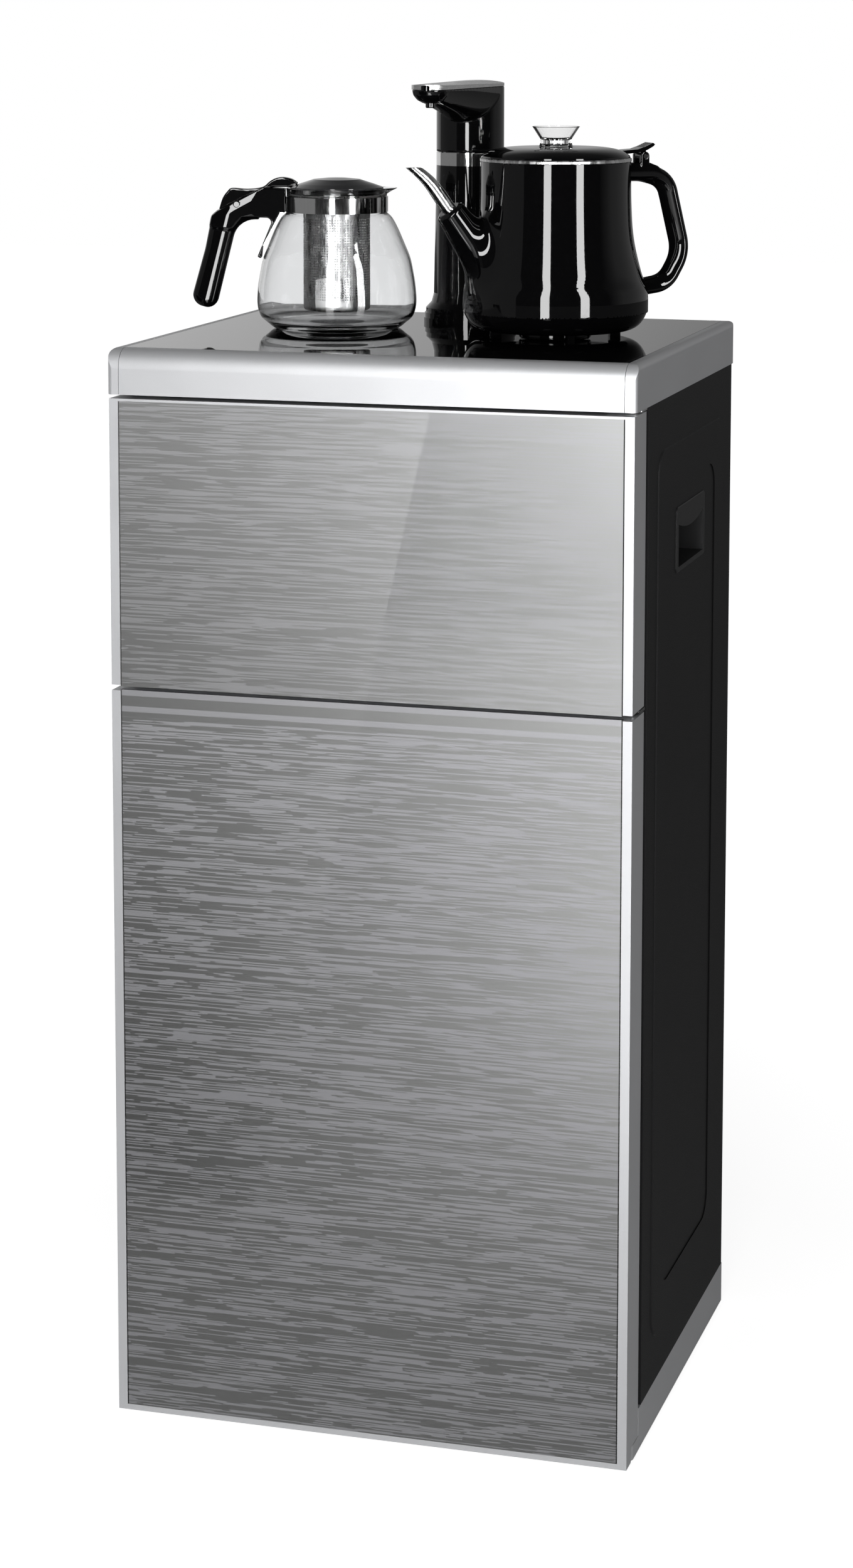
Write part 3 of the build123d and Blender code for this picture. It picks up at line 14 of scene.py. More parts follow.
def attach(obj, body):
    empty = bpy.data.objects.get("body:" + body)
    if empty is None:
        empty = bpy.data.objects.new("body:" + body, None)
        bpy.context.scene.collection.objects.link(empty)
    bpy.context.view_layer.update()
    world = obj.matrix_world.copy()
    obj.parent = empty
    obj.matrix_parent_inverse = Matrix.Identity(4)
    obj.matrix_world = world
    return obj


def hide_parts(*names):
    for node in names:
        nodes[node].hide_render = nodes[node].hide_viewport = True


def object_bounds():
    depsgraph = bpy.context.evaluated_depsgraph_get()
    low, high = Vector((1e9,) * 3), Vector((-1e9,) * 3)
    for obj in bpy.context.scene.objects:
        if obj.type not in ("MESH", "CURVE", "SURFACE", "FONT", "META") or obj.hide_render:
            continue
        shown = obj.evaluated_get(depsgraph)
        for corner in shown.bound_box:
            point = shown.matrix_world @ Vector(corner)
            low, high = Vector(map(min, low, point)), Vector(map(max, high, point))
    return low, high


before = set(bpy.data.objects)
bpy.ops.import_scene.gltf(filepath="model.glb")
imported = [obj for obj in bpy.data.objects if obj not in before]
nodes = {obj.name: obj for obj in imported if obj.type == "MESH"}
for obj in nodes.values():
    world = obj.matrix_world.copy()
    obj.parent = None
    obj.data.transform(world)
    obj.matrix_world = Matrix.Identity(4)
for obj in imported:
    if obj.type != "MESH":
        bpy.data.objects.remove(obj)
cad_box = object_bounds()

MM = 0.001


# Camera, fitted to the photograph. Its shift is kept small enough that other views frame the object.

PHOTO_HEIGHT = 2500
CAMERA_PLACE = (0.7946, -2.7276, 1.1678)
CAMERA_TURN = 0.28548
CAMERA_TILT = 0.12067
CAMERA_ROLL = 0.00089
FOCAL_PIXELS = 5474.02
SENSOR_HEIGHT = 36.0
CAMERA_SHIFT = -0.24
FAR_CLIP = 100


def make_camera():
    """The camera in the photograph's place: turned, tilted down and rolled a little."""
    data = bpy.data.cameras.new("camera")
    data.sensor_fit = "VERTICAL"
    data.sensor_height = SENSOR_HEIGHT
    data.lens = FOCAL_PIXELS / PHOTO_HEIGHT * SENSOR_HEIGHT
    data.shift_y = CAMERA_SHIFT
    data.clip_end = FAR_CLIP
    camera = bpy.data.objects.new("camera", data)
    camera.location = CAMERA_PLACE
    aim = Matrix.Rotation(CAMERA_TURN, 4, "Z") @ Matrix.Rotation(math.pi / 2 - CAMERA_TILT, 4, "X")
    camera.rotation_euler = (aim @ Matrix.Rotation(CAMERA_ROLL, 4, "Z")).to_euler()
    bpy.context.scene.collection.objects.link(camera)
    bpy.context.scene.camera = camera


# Node trees

def node(tree, kind, inputs=None, **settings):
    """One shader node. Each input is a number, a colour or another node's output."""
    made = tree.nodes.new("ShaderNode" + kind)
    for name, value in settings.items():
        setattr(made, name, value)
    for name, value in (inputs or {}).items():
        if isinstance(value, bpy.types.NodeSocket):
            tree.links.new(value, made.inputs[name])
        else:
            made.inputs[name].default_value = value
    return made


def math_node(tree, operation, a, b=0.0, c=0.0):
    """One sum on two or three numbers or outputs."""
    return node(tree, "Math", {0: a, 1: b, 2: c}, operation=operation).outputs[0]


def spread(tree, value, low, high, from_low=0.0, from_high=1.0):
    """The value moved from one range to another, clamped."""
    made = node(tree, "MapRange", {"Value": value, "From Min": from_low, "From Max": from_high,
                                   "To Min": low, "To Max": high})
    return made.outputs["Result"]


def mix_colours(tree, factor, a, b):
    """A colour between a and b. A Mix node's colours are its sockets 6 and 7, its result is output 2."""
    made = node(tree, "Mix", {"Factor": factor}, data_type="RGBA")
    for socket, value in ((6, a), (7, b)):
        if isinstance(value, bpy.types.NodeSocket):
            tree.links.new(value, made.inputs[socket])
        else:
            made.inputs[socket].default_value = (*value, 1)
    return made.outputs[2]


def place(tree, stretch=(1, 1, 1)):
    """The point on the object in metres, stretched along each axis."""
    spot = node(tree, "TexCoord").outputs["Object"]
    return node(tree, "Mapping", {"Vector": spot, "Scale": stretch}).outputs["Vector"]


def noise(tree, size, stretch=(1, 1, 1), detail=2.0):
    """Noise with features of about that size in metres."""
    spot = place(tree, stretch)
    made = node(tree, "TexNoise", {"Vector": spot, "Scale": 1 / size, "Detail": detail})
    return made.outputs["Fac"]


def bump(tree, height, depth):
    """Normals of a surface whose height, 0 to 1, spans that depth in metres."""
    made = node(tree, "Bump", {"Height": height, "Distance": depth, "Strength": 1.0})
    return made.outputs["Normal"]


def start(name, **sockets):
    """A material with one Principled shader, whose even values are set on its own sockets."""
    made = bpy.data.materials.new(name)
    made.use_nodes = True
    shader = made.node_tree.nodes["Principled BSDF"]
    for key, value in sockets.items():
        shader.inputs[key.replace("_", " ")].default_value = value
    return made, made.node_tree, shader


def wire(tree, shader, **sockets):
    """Links the outputs to the shader's sockets of those names."""
    for key, value in sockets.items():
        tree.links.new(value, shader.inputs[key.replace("_", " ")])


# Materials

PIANO_BLACK = (0.0015, 0.0015, 0.0017)
PIANO_IOR = 1.45
SATIN_BLACK = (0.012, 0.012, 0.0125)
SMOKED_BLACK = (0.03, 0.03, 0.032)
LOWER_BANDS = ((0.5872, 0.5914), (0.5960, 0.6045))
STREAK_LAYERS = ((0.95 * MM, 50 * MM, 11, 0.26),
                 (0.95 * MM, 22 * MM, 57, 0.14),
                 (0.6 * MM, 85 * MM, 83, 0.12))
GLASS_EDGE = 0.2064
SHEET_ROUGHNESS = 0.40
MARK_ROUGHNESS = 0.44
MARK_METALLIC = 0.72


def moulded(name, colour, roughness, grain=0.6 * MM, specular=0.5):
    """Injection moulded plastic or powder paint with a fine even grain."""
    made, tree, shader = start(name, Specular_IOR_Level=specular)
    fine = noise(tree, grain)
    broad = noise(tree, 35 * MM)
    mottle = 0.12
    dark = tuple(c * (1 - mottle) for c in colour)
    light = tuple(c * (1 + mottle) for c in colour)
    wire(tree, shader,
         Base_Color=mix_colours(tree, broad, dark, light),
         Roughness=spread(tree, fine, roughness * 0.9, min(1, roughness * 1.1), 0.3, 0.7),
         Normal=bump(tree, fine, 0.012 * MM))
    return made


def gloss(name, colour, roughness=0.03, ior=1.43):
    """Polished plastic or glass: faint long ripples and a trace of fine haze."""
    made, tree, shader = start(name, IOR=ior)
    wave = noise(tree, 28 * MM, detail=1.0)
    haze = noise(tree, 4 * MM)
    dark = tuple(c * 0.8 for c in colour)
    light = tuple(c * 1.3 for c in colour)
    wire(tree, shader,
         Base_Color=mix_colours(tree, haze, dark, light),
         Roughness=spread(tree, haze, roughness * 0.6, roughness * 1.6, 0.35, 0.65),
         Normal=bump(tree, wave, 0.02 * MM))
    return made


def silver_lacquer():
    """Silver paint: fine bright flakes under a satin skin."""
    made, tree, shader = start("silver_lacquer", Metallic=0.5)
    flake = noise(tree, 0.5 * MM, detail=3)
    broad = noise(tree, 60 * MM)
    tone = mix_colours(tree, flake, (0.54, 0.545, 0.56), (0.62, 0.625, 0.64))
    wire(tree, shader,
         Base_Color=tone,
         Roughness=spread(tree, broad, 0.38, 0.42, 0.3, 0.7),
         Normal=bump(tree, flake, 0.004 * MM))
    return made


def polished_steel(name, tone=0.72, roughness=0.06):
    """Bright steel with faint ripples and haze."""
    made, tree, shader = start(name, Metallic=1.0)
    wave = noise(tree, 18 * MM, detail=1)
    haze = noise(tree, 3 * MM, stretch=(1, 1, 0.2))
    wire(tree, shader,
         Base_Color=mix_colours(tree, haze, (tone * 0.94,) * 3, (tone * 1.04,) * 3),
         Roughness=spread(tree, haze, roughness * 0.6, roughness * 1.7, 0.35, 0.65),
         Normal=bump(tree, wave, 0.01 * MM))
    return made


def brushed_steel(name, tone=0.62, stretch=(1, 1, 40), roughness=0.3):
    """Steel with fine lines across the axis that is stretched."""
    made, tree, shader = start(name, Metallic=1.0, Anisotropic=0.5)
    line = noise(tree, 12 * MM, stretch, detail=4)
    wire(tree, shader,
         Base_Color=mix_colours(tree, line, (tone * 0.86,) * 3, (tone * 1.1,) * 3),
         Roughness=spread(tree, line, roughness * 0.8, roughness * 1.2, 0.3, 0.7),
         Normal=bump(tree, line, 0.01 * MM))
    return made


def scatter(tree, *seeds):
    """An even random number from 0 to 1 for each set of whole numbers."""
    spot = node(tree, "CombineXYZ", dict(zip("XYZ", seeds))).outputs[0]
    return node(tree, "TexWhiteNoise", {"Vector": spot}, noise_dimensions="3D").outputs["Value"]


def streaks(tree, axes, height, length, seed, share):
    """Level streaks of that height: in every row, cells of about that length are marked or left."""
    row = math_node(tree, "FLOOR", math_node(tree, "DIVIDE", axes.outputs["Z"], height))
    shift = scatter(tree, row, seed)
    stretch = spread(tree, scatter(tree, row, seed, 5.0), 0.6 / length, 1.7 / length)
    start_at = math_node(tree, "MULTIPLY", shift, 90.0)
    along = math_node(tree, "MULTIPLY_ADD", axes.outputs["X"], stretch, start_at)
    cell = math_node(tree, "FLOOR", along)
    return math_node(tree, "LESS_THAN", scatter(tree, cell, row, seed), share)


def between(tree, value, low, high):
    """1 where the value lies between the two, 0 elsewhere."""
    above = math_node(tree, "GREATER_THAN", value, low)
    return math_node(tree, "MULTIPLY", above, math_node(tree, "LESS_THAN", value, high))


def printed_glass(name, strong, plain_bands=()):
    """Clear glass over a bright metal sheet with matt level streaks and dark side edges.

    The plain bands stay bare of streaks, and the sheet between and above them is matt all over.
    """
    made, tree, shader = start(name, Coat_Weight=1.0, Coat_Roughness=0.0, Coat_IOR=1.5,
                               Specular_IOR_Level=0.2)
    axes = node(tree, "SeparateXYZ", {0: place(tree)})
    marks = None
    for height, length, seed, share in STREAK_LAYERS:
        layer = streaks(tree, axes, height, length, seed, share)
        marks = layer if marks is None else math_node(tree, "MAXIMUM", marks, layer)
    for low, high in plain_bands:
        outside = math_node(tree, "SUBTRACT", 1.0, between(tree, axes.outputs["Z"], low, high))
        marks = math_node(tree, "MULTIPLY", marks, outside)
    if plain_bands:
        top = math_node(tree, "GREATER_THAN", axes.outputs["Z"], plain_bands[-1][1])
        gap = between(tree, axes.outputs["Z"], plain_bands[0][1], plain_bands[-1][0])
        marks = math_node(tree, "MAXIMUM", marks, math_node(tree, "MAXIMUM", top, gap))
    fade = math_node(tree, "MULTIPLY", marks, strong)
    broad = noise(tree, 90 * MM)
    sheet = mix_colours(tree, broad, (0.32, 0.323, 0.32), (0.345, 0.348, 0.345))
    marked = mix_colours(tree, fade, sheet, (0.335, 0.335, 0.35))
    sideways = math_node(tree, "ABSOLUTE", axes.outputs["X"])
    edge = math_node(tree, "GREATER_THAN", sideways, GLASS_EDGE)
    wire(tree, shader,
         Base_Color=mix_colours(tree, edge, marked, (0.02, 0.02, 0.02)),
         Metallic=spread(tree, fade, 1.0, MARK_METALLIC),
         Roughness=spread(tree, fade, SHEET_ROUGHNESS, MARK_ROUGHNESS))
    return made


def clear(name, tint, ior=1.45):
    """Clear glass or plastic with a slight unevenness."""
    made, tree, shader = start(name, Transmission_Weight=1.0, IOR=ior)
    wave = noise(tree, 25 * MM, detail=1)
    wire(tree, shader,
         Base_Color=mix_colours(tree, wave, tuple(c * 0.985 for c in tint), tint),
         Roughness=spread(tree, wave, 0.0, 0.01),
         Normal=bump(tree, wave, 0.02 * MM))
    return made


def circuit_green():
    """A circuit board with pale tracks."""
    made, tree, shader = start("circuit_green", Roughness=0.4)
    tracks = spread(tree, noise(tree, 3 * MM, detail=0), 0, 1, 0.5, 0.52)
    wire(tree, shader, Base_Color=mix_colours(tree, tracks, (0.02, 0.12, 0.05), (0.05, 0.22, 0.1)))
    return made


def dress_nodes():
    """Gives each carried-over node its finish."""
    silver = silver_lacquer()
    black_gloss = gloss("piano_black", PIANO_BLACK, ior=PIANO_IOR)
    chrome = polished_steel("polished_steel")
    satin = brushed_steel("satin_steel")
    dark_paint = moulded("dark_paint", SATIN_BLACK, 0.55, grain=0.9 * MM, specular=0.15)
    black = moulded("black_plastic", SATIN_BLACK, 0.45, specular=0.3)
    grey = moulded("liner_grey", (0.55, 0.56, 0.57), 0.4)
    rubber = moulded("feet_rubber", (0.02, 0.02, 0.02), 0.8)
    metal = brushed_steel("plain_metal", tone=0.5, stretch=(1, 30, 1), roughness=0.4)
    tube = moulded("milky_tube", (0.8, 0.81, 0.81), 0.3)
    finishes = {
        silver: ["cap_frame", "cap_front_strip", "lower_door_frame", "upper_door_frame", "base_plinth"],
        dark_paint: ["side_panel_left", "side_panel_right", "back_panel"],
        black: ["front_frame", "carry_pockets", "power_inlet", "lower_door_cover", "upper_door_cover"],
        grey: ["lower_liner", "upper_liner"],
        rubber: ["rubber_feet"],
        printed_glass("upper_print", 0.6): ["upper_door_glass"],
        printed_glass("lower_print", 1.0, LOWER_BANDS): ["lower_door_glass"],
        gloss("black_glass", (0.004, 0.004, 0.0045), 0.012, 1.52): ["glass_top"],
        black_gloss: ["faucet_column", "faucet_head", "kettle_shell", "kettle_base", "kettle_handle",
                      "kettle_lid", "kettle_coupler", "teapot_handle", "teapot_lever", "teapot_rim",
                      "teapot_pin", "power_switch"],
        polished_steel("soft_steel", tone=0.62, roughness=0.3): ["kettle_rim_ring"],
        polished_steel("dark_steel", tone=0.1): ["faucet_nozzle", "middle_hinge"],
        chrome: ["faucet_ring", "kettle_spout", "teapot_collar", "teapot_strap", "kettle_hinge_pin"],
        satin: ["kettle_pot", "kettle_heating_plate", "infuser", "faucet_cap", "panel_screws",
                "strike_plates", "lower_hinge_pin", "upper_hinge", "pump_bracket"],
        clear("clear_glass", (0.93, 0.935, 0.94)): ["teapot_glass"],
        gloss("smoked_glass", SMOKED_BLACK): ["teapot_lid"],
        clear("clear_plastic", (0.98, 0.98, 0.98), ior=1.49): ["funnel_knob"],
        tube: ["suction_hose", "delivery_hose", "dip_tube"],
        metal: ["keep_warm_plate", "power_supply", "water_pump", "lower_door_magnet", "upper_door_magnet"],
        circuit_green(): ["touch_board"],
    }
    for finish, names in finishes.items():
        for name in names:
            for holder in nodes[name].material_slots:
                holder.material = finish


# Meshes

def piece(name, points, faces, finish, body, replaced=None, turn=None, thickness=None, crease=35,
          normals=None):
    """A mesh piece in millimetres, in the frame of turn if one is given, that rides on a body.

    Edges sharper than crease degrees stay sharp, and normals give each point's own shading.
    """
    mesh = bpy.data.meshes.new(name)
    mesh.from_pydata([tuple(point) for point in points], [], faces)
    mesh.transform(Matrix.Scale(MM, 4))
    if turn:
        mesh.transform(turn)
    mesh.validate()
    made = bpy.data.objects.new(name, mesh)
    bpy.context.scene.collection.objects.link(made)
    if thickness:
        thick = made.modifiers.new("thickness", "SOLIDIFY")
        thick.thickness = thickness * MM
        thick.offset = 0
        apply_modifiers(made)
    made.data.materials.clear()
    made.data.materials.append(finish)
    soften(made.data, crease)
    if normals is not None:
        around = turn.to_3x3() if turn else Matrix.Identity(3)
        made.data.normals_split_custom_set_from_vertices([around @ Vector(normal) for normal in normals])
    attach(made, body)
    if replaced:
        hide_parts(replaced)


def apply_modifiers(made):
    """The object's mesh as its modifiers leave it."""
    shown = made.evaluated_get(bpy.context.evaluated_depsgraph_get())
    made.data = bpy.data.meshes.new_from_object(shown)
    made.modifiers.clear()


def soften(mesh, crease):
    """Smooth shading, with the edges sharper than crease degrees kept."""
    shape = bmesh.new()
    shape.from_mesh(mesh)
    bmesh.ops.recalc_face_normals(shape, faces=shape.faces)
    for face in shape.faces:
        face.smooth = True
    for edge in shape.edges:
        edge.smooth = edge.calc_face_angle(0) < math.radians(crease)
    shape.to_mesh(mesh)
    shape.free()


def standing(x, y, z, turn_degrees):
    """The frame of a vessel that stands at a place in millimetres, turned about its axis."""
    return Matrix.Translation(Vector((x, y, z)) * MM) @ Matrix.Rotation(math.radians(turn_degrees), 4, "Z")


def rounded(corners, steps=7):
    """A closed outline from corners (x, y, radius), each corner an arc of its radius."""
    points = []
    for index, (x, y, radius) in enumerate(corners):
        here = np.array((x, y))
        before = np.array(corners[index - 1][:2]) - here
        after = np.array(corners[(index + 1) % len(corners)][:2]) - here
        if radius == 0:
            points.append(here)
            continue
        before = before / np.linalg.norm(before)
        after = after / np.linalg.norm(after)
        half = math.acos(np.clip(before @ after, -1, 1)) / 2
        reach = radius / math.tan(half)
        toward = (before + after) / np.linalg.norm(before + after)
        middle = here + toward * radius / math.sin(half)
        for step in range(steps + 1):
            part = step / steps
            chord = here + before * reach * (1 - part) + after * reach * part - middle
            points.append(middle + chord / np.linalg.norm(chord) * radius)
    return points


def curve_through(points, steps=6):
    """Points on a smooth curve through the given ones."""
    ends = [np.array(point, float) for point in points]
    ends = [2 * ends[0] - ends[1]] + ends + [2 * ends[-1] - ends[-2]]
    made = []
    for a, b, c, d in zip(ends, ends[1:], ends[2:], ends[3:]):
        for step in range(steps):
            t = step / steps
            made.append(0.5 * (2 * b + (c - a) * t + (2 * a - 5 * b + 4 * c - d) * t ** 2
                               + (3 * b - a - 3 * c + d) * t ** 3))
    return made + [ends[-2]]


def tube(path, radius, sides=8, capped=True):
    """Points and faces of a round bead along a path."""
    path = np.array(path, float)
    points = []
    faces = []
    ahead = np.roll(path, -1, 0) - np.roll(path, 1, 0)
    ahead[0] = path[1] - path[0]
    ahead[-1] = path[-1] - path[-2]
    for spot, way in zip(path, ahead):
        way = Vector(way).normalized()
        side = way.orthogonal().normalized() if not points else (side - way * side.dot(way)).normalized()
        other = way.cross(side)
        for index in range(sides):
            angle = 2 * math.pi * index / sides
            points.append(Vector(spot) + (side * math.cos(angle) + other * math.sin(angle)) * radius)
    rings = len(path)
    for ring in range(rings - 1):
        for index in range(sides):
            after = (index + 1) % sides
            low = ring * sides
            high = (ring + 1) * sides
            faces.append((low + index, low + after, high + after, high + index))
    if capped:
        faces.append(tuple(range(sides))[::-1])
        faces.append(tuple(range((rings - 1) * sides, rings * sides)))
    return points, faces


def joined(parts):
    """Several lots of points and faces as one."""
    points = []
    faces = []
    for more_points, more_faces in parts:
        start_at = len(points)
        points.extend(more_points)
        faces.extend(tuple(start_at + index for index in face) for face in more_faces)
    return points, faces


def lathe(profile, steps=144, wobble=None, closed=True):
    """Points and faces of a profile of (radius, height) turned about the upright axis.

    A closed profile makes a ring. An open one is capped flat at both ends.
    """
    points = []
    faces = []
    for radius, z in profile:
        for step in range(steps):
            angle = 2 * math.pi * step / steps
            reach = radius + (wobble(angle, z) if wobble else 0)
            points.append((reach * math.cos(angle), reach * math.sin(angle), z))
    rows = len(profile)
    for row in range(rows if closed else rows - 1):
        low = row * steps
        high = (row + 1) % rows * steps
        for step in range(steps):
            after = (step + 1) % steps
            faces.append((low + step, low + after, high + after, high + step))
    if not closed:
        faces.append(tuple(range(steps))[::-1])
        faces.append(tuple(range((rows - 1) * steps, rows * steps)))
    return points, faces


# Fields: a function of a point that is negative inside a solid

def least(a, b, blend):
    """Two solids joined, with a fillet of about that size."""
    mix = np.clip(0.5 + 0.5 * (b - a) / blend, 0, 1)
    return b * (1 - mix) + a * mix - blend * mix * (1 - mix)


def most(a, b, blend):
    """What two solids share, with edges rounded by about that size."""
    return -least(-a, -b, blend)


def depth_in(outline, x, y):
    """How deep inside a closed outline each point lies. Outside is negative."""
    nearest = np.inf
    inside = False
    for (x0, y0), (x1, y1) in zip(outline, outline[1:] + outline[:1]):
        dx = x1 - x0
        dy = y1 - y0
        along = np.clip(((x - x0) * dx + (y - y0) * dy) / (dx * dx + dy * dy + 1e-12), 0, 1)
        nearest = np.minimum(nearest, (x - x0 - along * dx) ** 2 + (y - y0 - along * dy) ** 2)
        if dy:
            crosses = ((y0 > y) != (y1 > y)) & (x < x0 + (y - y0) / dy * dx)
            inside = inside ^ crosses
    return np.where(inside, 1, -1) * np.sqrt(nearest)


def plate(outline, edge, half):
    """A plate across v with round edges, whose half width is a function of the place in its plane."""
    def field(u, v, z):
        near = edge - depth_in(outline, u, z)
        side = np.abs(v) - half(u, z) + edge
        outer = np.hypot(np.maximum(near, 0), np.maximum(side, 0))
        return np.minimum(np.maximum(near, side), 0) + outer - edge
    return field


def grown(field, low, high, pitch):
    """Points, faces and normals of a field's surface: one point in each grid cell that the surface
    crosses, moved onto it, and a face across each grid edge that it cuts."""
    axes = [np.arange(a - 1.5 * pitch, b + 2.5 * pitch, pitch) for a, b in zip(low, high)]
    grid = np.meshgrid(*axes, indexing="ij", sparse=True)
    inside = np.broadcast_to(field(*grid), [len(axis) for axis in axes]) < 0
    count = sum(inside[i:i - 1 or None, j:j - 1 or None, k:k - 1 or None].astype(int)
                for i in (0, 1) for j in (0, 1) for k in (0, 1))
    cells = np.argwhere((count > 0) & (count < 8))
    number = -np.ones(count.shape, int)
    number[tuple(cells.T)] = np.arange(len(cells))
    points = np.stack([axes[i][cells[:, i]] + pitch / 2 for i in range(3)], 1)
    for attempt in range(6):
        value = field(*points.T)
        slope = gradient(field, points, 0.05)
        step = slope * (value / np.maximum((slope ** 2).sum(1), 1e-9))[:, None]
        points = points - np.clip(step, -0.6 * pitch, 0.6 * pitch)
    faces = []
    for axis in range(3):
        b = (axis + 1) % 3
        c = (axis + 2) % 3
        first = np.take(inside, range(inside.shape[axis] - 1), axis)
        second = np.take(inside, range(1, inside.shape[axis]), axis)
        for spot in np.argwhere(first != second):
            corners = []
            for db, dc in ((1, 1), (0, 1), (0, 0), (1, 0)):
                cell = spot.copy()
                cell[b] -= db
                cell[c] -= dc
                corners.append(int(number[tuple(cell)]))
            faces.append(corners)
    slopes = gradient(field, points, 0.2)
    return points, faces, slopes / np.maximum(np.linalg.norm(slopes, axis=1, keepdims=True), 1e-9)


def gradient(field, points, gap):
    """How steeply the field rises along each axis at each point."""
    slopes = []
    for axis in range(3):
        offset = np.zeros(3)
        offset[axis] = gap
        slopes.append((field(*(points + offset).T) - field(*(points - offset).T)) / (2 * gap))
    return np.stack(slopes, 1)


# Kettle pieces

GLASS_TOP = 885.1
KETTLE = standing(96, 32.2, GLASS_TOP, 38)
KETTLE_BOTTOM = 18.8
KETTLE_TOP = 143.7
KETTLE_WALL = 2.4
BELLY = 77.2
MOUTH = 62.4
KETTLE_CURVE = [(30, BELLY), (39.1, 76.2), (52.7, 71.1), (80.0, 64.9), (109.6, 62.7), (KETTLE_TOP, MOUTH)]
PIN_REACH = 77.7
PIN_HEIGHT = 146.5
PIN_HOLE = 2.0
EAR_RADIUS = 3.9
GRIP_HALF = 9.5


def kettle_radius(z):
    """The body's radius at a height."""
    curve = np.array(curve_through(KETTLE_CURVE))
    return np.interp(z, curve[:, 0], curve[:, 1])


def kettle_grip(finish):
    """The D-shaped grip, thick outside and thin inside, with the hinge's seat and ears, cut to the body."""
    outside = rounded([(0, 138.2, 0), (104, 138.2, 26), (122, 64.5, 38), (103.9, 33.2, 26), (72, 29, 0),
                       (0, 24, 0)], 12)
    inside = rounded([(0, 43.4, 0), (71.2, 43.4, 1), (94.4, 47.7, 17), (104.3, 64.8, 22), (89.3, 125.4, 22),
                      (0, 125.4, 0)], 12)
    seat = plate(rounded([(58, 130, 0), (58, 141.1, 0), (82.5, 141.1, 2), (89.7, 138, 3), (95, 130, 0)]), 1.5,
                 lambda u, z: 8.5 + 0 * u)

    def field(u, v, z):
        inward = depth_in(outside, u, z)
        swell = np.abs(v) - GRIP_HALF + 0.0565 * np.maximum(inward - 2.8, 0) ** 2
        bar = most(most(swell * 0.85, -inward, 5.3), depth_in(inside, u, z), 3.5)
        from_pin = np.hypot(u - PIN_REACH, z - PIN_HEIGHT)
        ear_side = np.abs(np.abs(v) - 6.8) - 2
        disc = most(from_pin - EAR_RADIUS, ear_side, 0.8)
        web = most(np.maximum(np.abs(u - PIN_REACH) - EAR_RADIUS, np.abs(z - 142) - 4.5), ear_side, 0.8)
        ears = np.maximum(np.minimum(disc, web), PIN_HOLE - from_pin)
        whole = least(least(bar, seat(u, v, z), 2.5), ears, 0.6)
        return np.maximum(whole, kettle_radius(z) - 0.8 - np.hypot(u, v))

    points, faces, normals = grown(field, (56, -12, 26), (122, 12, 153), 0.9)
    piece("kettle_grip", points, faces, finish, "kettle", "kettle_handle", KETTLE,
          normals=normals)


SOCKET_END = (-95.5, 105.6)
SOCKET_RADIUS = 12.1
SOCKET_LENGTH = 62
SPOUT_LEAN = math.radians(36)
SPOUT_CURVE = [(-83, 88.4), SOCKET_END, (-104.6, 118.2), (-111.4, 126.8), (-118.2, 133.4), (-125.2, 139.0)]
SPOUT_TOP = 140.2
SPOUT_OUTSIDE = 6.1
SPOUT_INSIDE = 5.3
SPOUT_SIDES = 40
STRAIGHT_RINGS = 9


def kettle_body(finish):
    """The body's skin, drawn out into the spout's socket."""
    def field(u, v, z):
        far = np.hypot(u, v)
        ends = np.maximum(z - KETTLE_TOP, KETTLE_BOTTOM - z)
        body = most((far - kettle_radius(z)) * 0.93, ends, 0.3)
        forward = u - SOCKET_END[0]
        rise = z - SOCKET_END[1]
        along = forward * math.sin(SPOUT_LEAN) - rise * math.cos(SPOUT_LEAN)
        across = forward * math.cos(SPOUT_LEAN) + rise * math.sin(SPOUT_LEAN)
        away = np.hypot(across, v)
        cone = (away - SOCKET_RADIUS - 0.10 * along) * 0.99
        chamfer = (away - 9.3 - 1.3 * along) / 1.64
        socket = np.maximum(np.maximum(most(cone, chamfer, 0.8), -along), along - SOCKET_LENGTH)
        whole = np.maximum(least(body, socket, 16), ends)
        return np.maximum(whole, kettle_radius(z) - KETTLE_WALL - far)

    points, faces, normals = grown(field, (-106, -78, 18), (78, 78, 144), 1.25)
    piece("kettle_body", points, faces, finish, "kettle", "kettle_shell", KETTLE,
          normals=normals)


def spout_skin(path, radius):
    """Points and faces of the spout's tube, slimmer toward its mouth, which is cut level."""
    points, faces = tube(path, radius, SPOUT_SIDES, capped=False)
    rings = len(path)
    shaped = []
    for index, point in enumerate(points):
        ring = index // SPOUT_SIDES
        slimmer = 1 - 0.34 * max(0.0, (ring - STRAIGHT_RINGS) / (rings - STRAIGHT_RINGS - 1)) ** 1.2
        middle = Vector(path[ring])
        shaped.append(middle + (point - middle) * slimmer)
    way = (Vector(path[-1]) - Vector(path[-2])).normalized()
    for index in range((rings - 1) * SPOUT_SIDES, rings * SPOUT_SIDES):
        shaped[index] = shaped[index] + way * ((SPOUT_TOP - shaped[index].z) / way.z)
    below_mouth = SPOUT_TOP - 0.4
    for index in range((rings - 3) * SPOUT_SIDES, (rings - 1) * SPOUT_SIDES):
        if shaped[index].z > below_mouth:
            shaped[index] = shaped[index] + way * ((below_mouth - shaped[index].z) / way.z)
    return shaped, faces


def steel_spout(finish):
    """The steel spout: a thin tube that bends forward, its two skins joined at both ends."""
    path = [(u, 0, z) for u, z in curve_through(SPOUT_CURVE, 5)]
    points, faces = joined([spout_skin(path, radius) for radius in (SPOUT_OUTSIDE, SPOUT_INSIDE)])
    half = len(points) // 2
    for index in range(SPOUT_SIDES):
        after = (index + 1) % SPOUT_SIDES
        for row in (0, half - SPOUT_SIDES):
            faces.append((row + index, row + after, half + row + after, half + row + index))
    piece("steel_spout", points, faces, finish, "kettle", "kettle_spout", KETTLE, crease=40)


